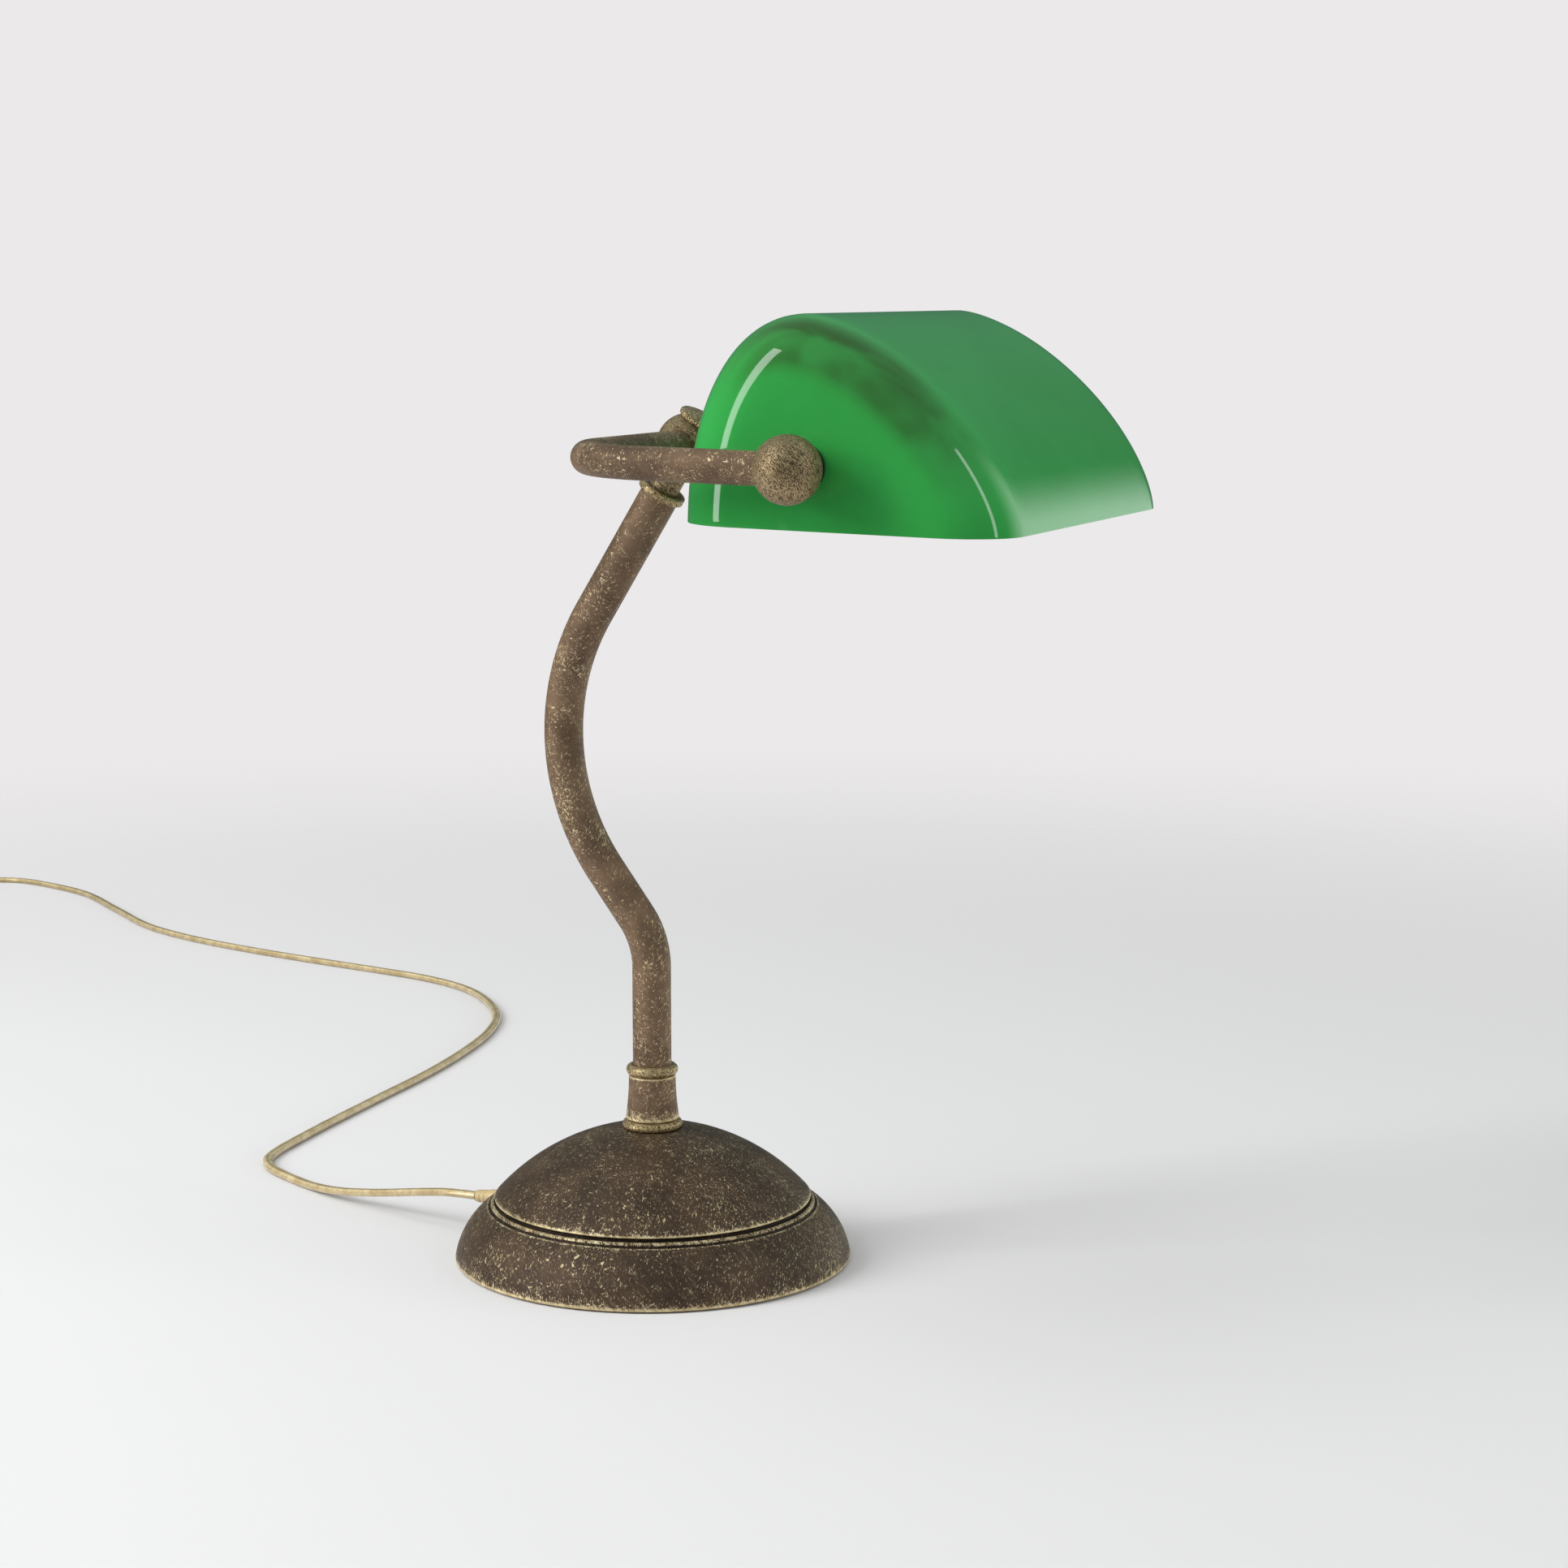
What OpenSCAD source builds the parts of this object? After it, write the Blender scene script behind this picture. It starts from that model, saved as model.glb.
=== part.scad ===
// Banker desk lamp: spun base, swan stem, tilting U-shaped yoke and a cased glass shade.
// +Z is up, the front is -Y, the yoke and shade axes lie along X.
// The origin is the centre of the felt pad, on the table.

/* [Base] */
// Diameter of the base at its rim
base_d = 174; // [150:1:220]
// Radial width from the rim in to the foot of the dome
skirt_w = 17.7; // [15:0.1:24]
// Height of the dome's foot above the table
foot_z = 28.2; // [24:0.1:36]
// Rise of the dome above its foot
dome_rise = 30.7; // [22:0.1:45]
// Bulge radius of the skirt
skirt_bulge = 34; // [26:1:80]
// Wall of the spun base
shell_t = 1.6; // [1:0.1:2.2]
// Thickness of the felt pad
felt_t = 1.5; // [1:0.1:3]
// Thickness of the steel bottom plate
plate_t = 1; // [0.8:0.1:2]
// Thickness of the cast-iron weight
weight_t = 10; // [6:0.5:11]

/* [Collar] */
// Diameter of the lower bead
lower_bead_d = 26.3; // [23:0.1:32]
// Height of the lower bead
lower_bead_h = 4; // [3:0.1:6]
// Diameter of the sleeve at its foot
sleeve_d = 23.3; // [21:0.1:23]
// Height of the sleeve
sleeve_h = 19.6; // [12:0.1:40]
// Diameter of the upper bead
upper_bead_d = 22.7; // [21:0.1:28]
// Height of the upper bead
upper_bead_h = 4.8; // [4.2:0.1:8]

/* [Stem] */
// Outer diameter of the stem tube
stem_d = 16.9; // [15:0.1:17.5]
// Bore of the stem tube
stem_bore = 11.8; // [11:0.1:12]
// Height of the upright part above the collar
riser_h = 43; // [25:1:90]
// Radius of the lower bend, at the tube's centre
bend_r = 37; // [20:1:60]
// Angle by which the stem leans back
lean_back = 36.5; // [20:0.5:45]
// Straight part between the two bends
back_len = 24.7; // [10:0.1:50]
// Radius of the bow, at the tube's centre
bow_r = 100; // [70:1:140]
// Angle by which the top of the stem leans forward
lean_fwd = 31.7; // [20:0.1:40]
// Straight part from the bow up to the yoke axis
reach_len = 86; // [70:1:110]

/* [Yoke] */
// Diameter of the yoke tube
yoke_d = 13.4; // [11:0.1:13.6]
// Bore of the yoke tube
yoke_bore = 9.4; // [8:0.1:9.6]
// Distance from the yoke's back rod to the shade axis
yoke_reach = 98.5; // [90:0.5:130]
// Bend radius of the yoke's corners, at the tube's centre
yoke_bend_r = 39; // [25:1:45]
// Angle by which the yoke droops at the front
droop = 1.2; // [0:0.1:5]
// Diameter of the joint ball and the end balls
ball_d = 27.1; // [26:0.1:30]

/* [Shade] */
// Length of the glass
shade_l = 225; // [190:1:280]
// Height of the glass above its rim
shade_h = 82.4; // [74:0.1:100]
// Crown to front rim
shade_front = 89.1; // [75:0.1:110]
// Crown to rear rim
shade_rear = 49; // [44:0.1:58]
// Distance of the crown behind the shade axis
crown_back = 8.4; // [0:0.1:12]
// Height of the shade axis above the rim
axis_h = 24.3; // [20:0.1:30]
// Radius of the rounded ends
shoulder_r = 27.6; // [20:0.1:32]
// Wall of the glass
glass_t = 4; // [3:0.1:5]

/* [Light] */
// Length of the lampholder
holder_l = 53; // [48:1:60]
// Diameter of the lampholder
holder_d = 35.2; // [34:0.1:38]
// Length of the bulb's glass
bulb_l = 96; // [60:1:110]
// Diameter of the bulb
bulb_d = 30; // [28:0.5:34]

/* [Hidden] */
$fn = 96;

fit = 0.05;       // radial clearance of fixed pieces
run = 0.08;       // radial clearance of a running fit
gap = 0.05;       // face clearance of pieces that turn against each other
tip = 0.01;       // overlap of unions and extra length of cuts
hair = 0.1;       // step in radius where a straight meets a bend
lap = 0.3;        // length by which a straight runs into a bend

// --- levels and radii of the base ---
base_r = base_d/2;
foot_r = base_r - skirt_w;
rim_z = 0.8;
dome_r = (foot_r*foot_r + dome_rise*dome_rise)/(2*dome_rise);
dome_cz = foot_z + dome_rise - dome_r;
shoulder = [foot_r + 3.3, foot_z - 4.4];
skirt_foot = [base_r, rim_z + 0.6];
skirt_c = arc_centre(shoulder, skirt_foot, skirt_bulge);
bead_c = [foot_r + 0.9, foot_z - 3.5];
bead_r = 1.1;
seat_r = lower_bead_d/2 + 0.9;
seat_z = dome_cz + sqrt(dome_r*dome_r - seat_r*seat_r);
plate_z = felt_t + plate_t;
weight_z = plate_z + weight_t;
weight_r = base_r - 12;
plate_r = base_r - 4;
hub_r = 13;
hub_bore_r = 9.6;
hub_roof_t = 6;
under_seat_z = seat_z - shell_t;
thread_r = 5;
thread_bore_r = 3.4;
screw_ring_r = 60;
plate_screw_r = 2;

// --- levels of the collar ---
sleeve_z = seat_z + lower_bead_h + 0.2;
upper_bead_z = sleeve_z + sleeve_h + 0.1;
collar_top = upper_bead_z + upper_bead_h;
stem_start = collar_top - 3.4;

// --- stem line, as [forward, up] points ---
riser_top = collar_top + riser_h;
bend_c = [-bend_r, riser_top];
bend_end = bend_c + bend_r*[cos(lean_back), sin(lean_back)];
bow_start = bend_end + back_len*[-sin(lean_back), cos(lean_back)];
bow_c = bow_start + bow_r*[cos(lean_back), sin(lean_back)];
bow_end = bow_c + bow_r*[-cos(lean_fwd), sin(lean_fwd)];
pivot = bow_end + reach_len*[sin(lean_fwd), cos(lean_fwd)];
stem_r = stem_d/2;
bushing_l = 14;
bushing_r = stem_bore/2 - hair - fit;

// --- joint head, as distances along the stem from the yoke axis ---
ball_r = ball_d/2;
ring_low = -25.2;
ring_t = 3.4;
ring_r = 10.4;
neck_r = 6.6;
spigot_l = 12;
head_flat = ball_r - 2.7;
stud_r = 3;
knob_r = 10.2;
knob_t = 3.2;
knob_dome = 1;
knurls = 48;
flex_r = 2;
wire_bore_r = 3;

// --- yoke and shade axis ---
yoke_r = yoke_d/2;
neck_gap = 1.5;
end_ball_x = shade_l/2 + neck_gap + ball_r;
socket_depth = 8.4;
arm_end = yoke_reach - socket_depth - fit;
nipple_r = 5;
nipple_bore_r = 3.2;
glass_in = shade_l/2 - glass_t;
washer_r = 9.5;
inner_washer_t = 1.5;
nut_h = 4;
nut_in = glass_in - inner_washer_t - nut_h;
rear_steps = 12;
front_steps = 18;
shoulder_steps = 6;
rear_power = 2.2;
front_power = 1.53;

// --- light ---
holder_r = holder_d/2;
holder_wall = 1.2;
cap_l = 23;
boss_l = 4;
key_x = nut_in - 16;
key_r = 2;
block_x = nut_in - cap_l - 6;
block_r = holder_r - holder_wall - 2*fit;
screw_r = 14;
cap_r = 13.2;
bulb_x = nut_in - holder_l + 1;

// --- cord exit, plug and route ---
exit_z = 17.5;
wall_y = skirt_r(exit_z);
relief_out = 8;
relief_in = 14;
relief_end = wall_y + relief_out;
cord_w = 5;
cord_t = 3.6;
lay_z = cord_t/2;
anchor_y = 44;
// The cord's centre line, from the end of its relief to its coil
cord_route = [
    [0, relief_end, exit_z], [2, 103, 16.8], [6, 116, 14.6], [11, 132, 11.4], [17, 150, 7.8],
    [24, 171, 4.4], [31, 187, 2.6], [38, 200, lay_z], [47, 216, lay_z], [57, 230, lay_z],
    [69, 239, lay_z], [84, 243, lay_z], [102, 245, lay_z], [140, 248, lay_z], [196, 251, lay_z],
    [256, 254, lay_z], [308, 260, lay_z], [358, 270, lay_z], [398, 285, lay_z], [433, 309, lay_z],
    [461, 339, lay_z], [479, 375, lay_z], [490, 418, lay_z], [502, 473, lay_z], [517, 532, lay_z],
    [534, 582, lay_z], [556, 626, lay_z], [600, 682, lay_z], [642, 736, lay_z], [662, 782, lay_z],
    [668, 808, lay_z], [661, 832, 2.1], [650, 860, 2.4]];
coil_c = [620, 848];
coil_r = 29.5;
coil_lift = 0.6;
coil_h = 7;
coil_half = cord_w + 0.1;
coil_tie_w = 7;
tie_at = 250;
leave = 110;
tail_from = 12;
tail_l = 40;
plug_turn = leave + 90;
plug_c = coil_c + coil_r*[cos(leave), sin(leave)] + tail_l*[cos(plug_turn), sin(plug_turn)];
plug_l = 36;
plug_w = 27;
plug_h = 14;
pin_r = 2;
pin_l = 19;
pin_gap = 18.6;

// ---------- helpers ----------
// Maps x, y, z to forward, up and -X
module in_side_plane() {
    rotate([90, 0, -90]) children();
}

// A straight round bar between two points of the side plane
module bar(a, b, r) {
    d = b - a;
    translate([a.x, a.y, 0]) rotate([0, 0, atan2(d.y, d.x)]) rotate([0, 90, 0]) cylinder(h = norm(d), r = r);
}

// A round bend in the plane of its centre
module bend(c, from, sweep, radius, r) {
    translate([c.x, c.y, 0]) rotate([0, 0, from])
        rotate_extrude(angle = sweep) translate([radius, 0]) circle(r = r);
}

// A point of the stem's top straight, given by its distance from the yoke axis
function on_stem(d) = pivot + d*[sin(lean_fwd), cos(lean_fwd)];

// A point a little way past b, on the line from a
function past(a, b) = b + lap*(b - a)/norm(b - a);

// A solid round bar along the stem's line; its straights end inside the bends and are a hair thinner
module stem_bar(low, high, r) {
    top = on_stem(high);
    in_side_plane() {
        bar([0, low], past([0, low], [0, riser_top]), r - hair);
        bend(bend_c, 0, lean_back, bend_r, r);
        bar(past(bow_start, bend_end), past(bend_end, bow_start), r - hair);
        bend(bow_c, 180 - lean_fwd, lean_fwd + lean_back, bow_r, r);
        bar(past(top, bow_end), top, r - hair);
    }
}

// Places children on the stem's top straight, with +Z along it and the origin on the yoke axis
module at_head() {
    translate([0, -pivot.x, pivot.y]) rotate([lean_fwd, 0, 0]) children();
}

// Places children with the yoke's back rod along X through the origin
module at_yoke() {
    translate([0, -pivot.x, pivot.y]) rotate([droop, 0, 0]) children();
}

// Places children with the shade axis along X through the origin
module at_shade() {
    at_yoke() translate([0, -yoke_reach, 0]) children();
}

// A solid along X
module along_x(from, to, r1, r2) {
    translate([from, 0, 0]) rotate([0, 90, 0]) cylinder(h = to - from, r1 = r1, r2 = r2);
}

// A hexagon nut along Z, standing on z = 0
module hex_nut(across, h, bore_r) {
    difference() {
        cylinder(h = h, r = across/sqrt(3), $fn = 6);
        translate([0, 0, -1]) cylinder(h = h + 2, r = bore_r);
    }
}

// A ring along Z, standing on z = 0
module ring(r, bore_r, h) {
    difference() {
        cylinder(h = h, r = r);
        translate([0, 0, -1]) cylinder(h = h + 2, r = bore_r);
    }
}

// Points of an arc
function arc(c, r, from, to, steps) =
    [for (i = [0:steps]) c + r*[cos(from + (to - from)*i/steps), sin(from + (to - from)*i/steps)]];

// Centre of the arc of radius r that bulges outwards from p down to q
function arc_centre(p, q, r) =
    let (m = (p + q)/2, d = q - p, h = sqrt(r*r - d*d/4))
    m + h*[d.y, -d.x]/norm(d);

// ---------- base ----------
// Outer radius of the skirt at a height
function skirt_r(z) = skirt_c.x + sqrt(skirt_bulge*skirt_bulge - (z - skirt_c.y)*(z - skirt_c.y));

// Angle of a point of the skirt seen from the centre of its bulge
function skirt_angle(p) = atan2(p.y - skirt_c.y, p.x - skirt_c.x);

// Outline of the spun shell, from the seat out to the rim and back inside
function shell_outline() = concat(
    [[thread_r + fit, seat_z]],
    arc([0, dome_cz], dome_r, 90 - asin(seat_r/dome_r), 90 - asin(foot_r/dome_r), 22),
    [[foot_r + 0.25, foot_z - 0.35], [foot_r + 0.15, foot_z - 0.8], [foot_r - 0.8, foot_z - 1.3],
     [foot_r - 1.4, foot_z - 2], [foot_r - 1.3, foot_z - 2.6]],
    arc(bead_c, bead_r, 150, -40, 10),
    [[foot_r + 2.2, foot_z - 4.85], [foot_r + 2.7, foot_z - 4.85]],
    arc(skirt_c, skirt_bulge, skirt_angle(shoulder), skirt_angle(skirt_foot), 14),
    [[base_r - 0.3, rim_z], [base_r - shell_t, rim_z]],
    arc(skirt_c, skirt_bulge - shell_t, skirt_angle(skirt_foot), skirt_angle(shoulder) - 6, 12),
    [[foot_r - 0.8, foot_z - 6.4], [foot_r - 1.4 - shell_t, foot_z - 3.6]],
    arc([0, dome_cz], dome_r - shell_t, 90 - asin((foot_r - 1.4 - shell_t)/(dome_r - shell_t)),
        90 - asin(seat_r/(dome_r - shell_t)), 22),
    [[seat_r - 0.6, under_seat_z], [thread_r + fit, under_seat_z]]);

module base_shell() {
    color("#5a4a3d") difference() {
        rotate_extrude() polygon(shell_outline());
        translate([0, wall_y - 12, exit_z]) rotate([-90, 0, 0]) cylinder(h = 20, r = 3.6 + fit);
    }
}

module base_weight() {
    color("#3c3c3e") difference() {
        union() {
            translate([0, 0, plate_z]) cylinder(h = weight_t, r = weight_r);
            translate([0, 0, plate_z]) cylinder(h = under_seat_z - plate_z, r = hub_r);
        }
        translate([0, 0, plate_z - 1]) cylinder(h = under_seat_z - hub_roof_t - plate_z + 1, r = hub_bore_r);
        translate([0, 0, plate_z]) cylinder(h = under_seat_z, r = thread_r + fit);
        translate([-5, 0, weight_z + 2]) cube([10, hub_r + 1, 14]);
        for (a = [30:120:270])
            rotate(a) translate([screw_ring_r, 0, plate_z - 1]) cylinder(h = 8, r = plate_screw_r + fit);
        for (s = [-1, 1])
            translate([s*9, anchor_y, weight_z - 6]) cylinder(h = 8, r = 1.5 + fit);
    }
}

module bottom_plate() {
    color("#8b8d90") difference() {
        translate([0, 0, felt_t]) cylinder(h = plate_t, r = plate_r);
        for (a = [30:120:270])
            rotate(a) translate([screw_ring_r, 0, 0]) cylinder(h = plate_z + 1, r = plate_screw_r + fit);
    }
}

module felt_pad() {
    color("#2c4a33") difference() {
        cylinder(h = felt_t, r = plate_r + 1);
        for (a = [30:120:270])
            rotate(a) translate([screw_ring_r, 0, -1]) cylinder(h = felt_t + 2, r = 4.5);
    }
}

// Pan-head screws that hold the bottom plate to the weight, in holes of the felt
module plate_screws() {
    color("#a7a9ac") for (a = [30:120:270]) rotate(a) translate([screw_ring_r, 0, 0]) {
        translate([0, 0, felt_t - 1]) cylinder(h = 1, r1 = 3.2, r2 = 3.8);
        translate([0, 0, felt_t - tip]) cylinder(h = plate_t + 6, r = plate_screw_r);
    }
}

// ---------- collar and its threaded tube ----------
module threaded_tube() {
    color("#9c9484") translate([0, 0, under_seat_z - hub_roof_t - 7])
        ring(thread_r, thread_bore_r, stem_start + bushing_l - under_seat_z + hub_roof_t + 7);
}

module tube_washer() {
    color("#a7a9ac") translate([0, 0, under_seat_z - hub_roof_t - 1.2]) ring(8.6, thread_r + fit, 1.2);
}

module tube_nut() {
    color("#a7a9ac") translate([0, 0, under_seat_z - hub_roof_t - 5.7]) hex_nut(14, 4.5, thread_r + fit);
}

// A bead with a rounded outer edge, from its bore out
function bead_outline(bore, r, h) =
    concat([[bore, 0], [r - h/2, 0]], arc([r - h/2, h/2], h/2, -90, 90, 16), [[bore, h]]);

module lower_bead() {
    color("#a08a5c") translate([0, 0, seat_z])
        rotate_extrude() polygon(bead_outline(thread_r + fit, lower_bead_d/2, lower_bead_h));
}

sleeve_top_r = upper_bead_d/2 - 1.1;

module collar_sleeve() {
    flare = [for (i = [0:14]) let (t = i/14)
        [sleeve_top_r + (sleeve_d/2 - sleeve_top_r)*pow(1 - t, 1.9), 0.7 + (sleeve_h - 1)*t]];
    outline = concat([[thread_r + fit, 0], [sleeve_d/2 - 0.6, 0]], flare,
                     [[sleeve_top_r - 0.3, sleeve_h], [thread_r + fit, sleeve_h]]);
    color("#5a4a3d") translate([0, 0, sleeve_z]) rotate_extrude() polygon(outline);
}

module upper_bead() {
    r = upper_bead_d/2;
    h = upper_bead_h;
    cup = stem_r + fit;
    lip = cup + 0.5;
    outline = concat([[thread_r + fit, 0], [r - h/2, 0]], arc([r - h/2, h/2], h/2, -90, 60, 14),
                     [[lip, h], [cup, h - 0.5], [cup, stem_start - upper_bead_z],
                      [thread_r + fit, stem_start - upper_bead_z]]);
    color("#a08a5c") translate([0, 0, upper_bead_z]) rotate_extrude() polygon(outline);
}

// ---------- stem ----------
module stem_tube() {
    color("#5a4a3d") difference() {
        stem_bar(stem_start, ring_low, stem_r);
        stem_bar(stem_start - 1, ring_low + 1, stem_bore/2);
    }
}

module stem_bushing() {
    color("#9c9484") translate([0, 0, stem_start + tip]) ring(bushing_r, thread_r + fit, bushing_l);
}

// ---------- joint head ----------
module joint_ring() {
    outline = [[stem_bore/2 + fit, 0], [ring_r - 0.5, 0], [ring_r, 0.5], [ring_r, ring_t - 0.4],
               [ring_r - 0.4, ring_t], [ring_r - 1.5, ring_t], [ring_r - 1.9, ring_t - 1.6],
               [stem_bore/2 + fit, ring_t - 1.6]];
    color("#a08a5c") at_head() translate([0, 0, ring_low]) rotate_extrude() polygon(outline);
}

module joint_ball() {
    color("#8d7a55") at_head() difference() {
        union() {
            sphere(r = ball_r);
            translate([0, 0, ring_low + ring_t - 1.6]) cylinder(h = 14, r = neck_r);
            translate([0, 0, ring_low - spigot_l]) cylinder(h = spigot_l + 3, r = bushing_r);
        }
        translate([0, 0, head_flat]) cylinder(h = 10, r = ball_r);
        along_x(-20, 20, yoke_r + run, yoke_r + run);
        for (s = [-1, 1])
            translate([s*(ball_r - 0.4), 0, 0]) rotate([0, 90, 0]) cylinder(h = 5, r = yoke_r + 1.8, center = true);
        cylinder(h = ball_r, r = stud_r + fit);
        translate([0, 0, ring_low - spigot_l - 1]) cylinder(h = spigot_l - ring_low, r = wire_bore_r);
    }
}

// Brass pad that presses on the yoke's back rod
module clamp_shoe() {
    color("#c2a868") at_head() difference() {
        translate([0, 0, yoke_r - 1]) cylinder(h = 2.6, r = stud_r - 0.1);
        along_x(-5, 5, yoke_r + gap, yoke_r + gap);
    }
}

module clamp_stud() {
    color("#8d7a55") at_head() translate([0, 0, yoke_r + 1.6 + gap]) cylinder(h = head_flat - yoke_r + 0.2, r = stud_r);
}

module clamp_knob() {
    low = head_flat + 0.3;
    blind = yoke_r + 1.6 + gap + head_flat - yoke_r + 0.2;
    dome = arc([0, knob_t + knob_dome - 26], 26, 90, 90 - asin((knob_r - 0.6)/26), 8);
    edge_z = dome[8].y;
    outline = concat(dome, [[knob_r, edge_z - 0.6], [knob_r, 0.5], [knob_r - 0.5, 0], [0, 0]]);
    color("#8d7a55") at_head() difference() {
        translate([0, 0, low]) rotate_extrude() polygon(outline);
        translate([0, 0, low - 1]) cylinder(h = blind - low + 1 + gap, r = stud_r + fit);
        for (i = [0:knurls - 1])
            rotate(i*360/knurls) translate([knob_r + 0.35, 0, low - 1]) cylinder(h = knob_t + 1, r = 0.6, $fn = 16);
    }
}

// ---------- yoke ----------
// A solid round bar along the yoke's line, its two ends at y = -end
module yoke_bar(end, r) {
    side = end_ball_x - yoke_bend_r;
    along_x(-side, side, r, r);
    bend([side, -yoke_bend_r], 0, 90, yoke_bend_r, r);
    bend([-side, -yoke_bend_r], 90, 90, yoke_bend_r, r);
    for (s = [-1, 1])
        bar([s*end_ball_x, -yoke_bend_r], [s*end_ball_x, -end], r);
}

module yoke_tube() {
    color("#5a4a3d") at_yoke() difference() {
        yoke_bar(arm_end, yoke_r);
        yoke_bar(arm_end + 1, yoke_bore/2);
        translate([-3, -4, -yoke_r - 1]) cube([6, 8, yoke_r + 1]);
    }
}

// A turned ball with a socket for the yoke's arm and a threaded bore for the nipple
module end_ball(s) {
    color("#8d7a55") at_shade() translate([s*end_ball_x, 0, 0]) rotate([0, 90 - 90*s, 0]) difference() {
        union() {
            rotate(180) sphere(r = ball_r);
            along_x(-ball_r - gap, 0, 7, 7);
        }
        translate([0, socket_depth, 0]) rotate([-90, 0, 0]) cylinder(h = ball_r, r = yoke_r + fit);
        rotate([-90, 0, 0]) cylinder(h = ball_r, r = wire_bore_r);
        along_x(-ball_r - 2, 3, nipple_r + fit, nipple_r + fit);
    }
}

module end_ball_left() {
    end_ball(-1);
}

module end_ball_right() {
    end_ball(1);
}

module pivot_nipples() {
    in_x = nut_in - 3.5;
    out_x = end_ball_x + 2.9;
    color("#9c9484") at_shade() for (s = [-1, 1]) mirror([s > 0 ? 0 : 1, 0, 0]) difference() {
        along_x(in_x, out_x, nipple_r, nipple_r);
        along_x(in_x - 1, out_x + 1, nipple_bore_r, nipple_bore_r);
        translate([end_ball_x - wire_bore_r, -nipple_r, -wire_bore_r]) cube([7, 2*nipple_r, 2*wire_bore_r]);
    }
}

module outer_washers() {
    color("#2b2a28") at_shade() for (s = [-1, 1]) mirror([s > 0 ? 0 : 1, 0, 0])
        translate([shade_l/2 + gap, 0, 0]) rotate([0, 90, 0]) ring(washer_r, nipple_r + fit, neck_gap - 2*gap - gap);
}

module inner_washers() {
    color("#2b2a28") at_shade() for (s = [-1, 1]) mirror([s > 0 ? 0 : 1, 0, 0])
        translate([glass_in - inner_washer_t, 0, 0]) rotate([0, 90, 0]) ring(washer_r, nipple_r + fit, inner_washer_t - gap);
}

module inner_nuts() {
    color("#a7a9ac") at_shade() for (s = [-1, 1]) mirror([s > 0 ? 0 : 1, 0, 0])
        translate([nut_in, 0, 0]) rotate([0, 90, 0]) hex_nut(14, nut_h, nipple_r + fit);
}

// ---------- glass shade ----------
// One cross-section as [y, z] points, from the rear rim over the crown to the front rim
function shade_section(inset) = concat(
    [for (i = [0:rear_steps - 1]) let (a = 90*(rear_steps - i)/rear_steps)
        [crown_back + (shade_rear - inset)*pow(sin(a), 2/rear_power),
         (shade_h - inset)*pow(cos(a), 2/rear_power) - axis_h]],
    [for (i = [0:front_steps]) let (a = 90*i/front_steps)
        [crown_back - (shade_front - inset)*pow(sin(a), 2/front_power),
         (shade_h - inset)*pow(cos(a), 2/front_power) - axis_h]]);

// All points of one skin of the glass, station by station along X
function skin_points(wall) = [
    for (s = [-1, 1]) for (i = [0:shoulder_steps])
        let (a = 90*(s < 0 ? shoulder_steps - i : i)/shoulder_steps,
             r = shoulder_r - wall,
             x = s*(shade_l/2 - shoulder_r + r*sin(a)))
        for (p = shade_section(wall + r*(1 - cos(a)))) [x, p.x, p.y]];

module glass_shade() {
    n = rear_steps + front_steps;
    m = 2*shoulder_steps + 1;
    inner = (m + 1)*(n + 1);
    function id(skin, i, k) = skin*inner + i*(n + 1) + k;
    skins = concat(
        [for (i = [0:m - 1]) for (k = [0:n - 1])
            [id(0, i, k), id(0, i + 1, k), id(0, i + 1, k + 1), id(0, i, k + 1)]],
        [for (i = [0:m - 1]) for (k = [0:n - 1])
            [id(1, i, k), id(1, i, k + 1), id(1, i + 1, k + 1), id(1, i + 1, k)]]);
    caps = [[for (k = [0:n]) id(0, 0, k)], [for (k = [n:-1:0]) id(0, m, k)],
            [for (k = [n:-1:0]) id(1, 0, k)], [for (k = [0:n]) id(1, m, k)]];
    rim = concat(
        [for (i = [0:m - 1]) [id(0, i + 1, 0), id(0, i, 0), id(1, i, 0), id(1, i + 1, 0)]],
        [for (i = [0:m - 1]) [id(0, i, n), id(0, i + 1, n), id(1, i + 1, n), id(1, i, n)]],
        [[id(0, 0, 0), id(0, 0, n), id(1, 0, n), id(1, 0, 0)],
         [id(0, m, n), id(0, m, 0), id(1, m, 0), id(1, m, n)]]);
    color("#2f8a47") at_shade() difference() {
        polyhedron(points = concat(skin_points(0), skin_points(glass_t)), faces = concat(skins, caps, rim));
        along_x(-shade_l, shade_l, nipple_r + run, nipple_r + run);
    }
}

// ---------- lampholder, switch and bulb ----------
module holder_cap() {
    open_x = nut_in - cap_l;
    inner_r = holder_r - holder_wall;
    outline = [[nipple_r + fit, -tip], [8, -tip], [8, boss_l], [holder_r - 4, boss_l + 3], [holder_r - 1, boss_l + 6],
               [holder_r, boss_l + 9], [holder_r, cap_l], [inner_r, cap_l], [inner_r, boss_l + 9.5],
               [inner_r - 3, boss_l + 5.5], [nipple_r + fit, boss_l + 4]];
    color("#8d7a55") at_shade() difference() {
        translate([nut_in - gap, 0, 0]) rotate([0, -90, 0]) rotate_extrude() polygon(outline);
        translate([key_x, 0, 0]) rotate([90, 0, 0]) cylinder(h = holder_r + 1, r = key_r + run);
    }
}

module holder_shell() {
    start = nut_in - cap_l - gap - tip;
    color("#8d7a55") at_shade() difference() {
        union() {
            along_x(nut_in - holder_l, start, holder_r, holder_r);
            along_x(nut_in - holder_l, nut_in - holder_l + 3, holder_r + 0.8, holder_r + 0.8);
        }
        along_x(nut_in - holder_l - 1, start + 1, holder_r - holder_wall, holder_r - holder_wall);
    }
}

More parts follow.
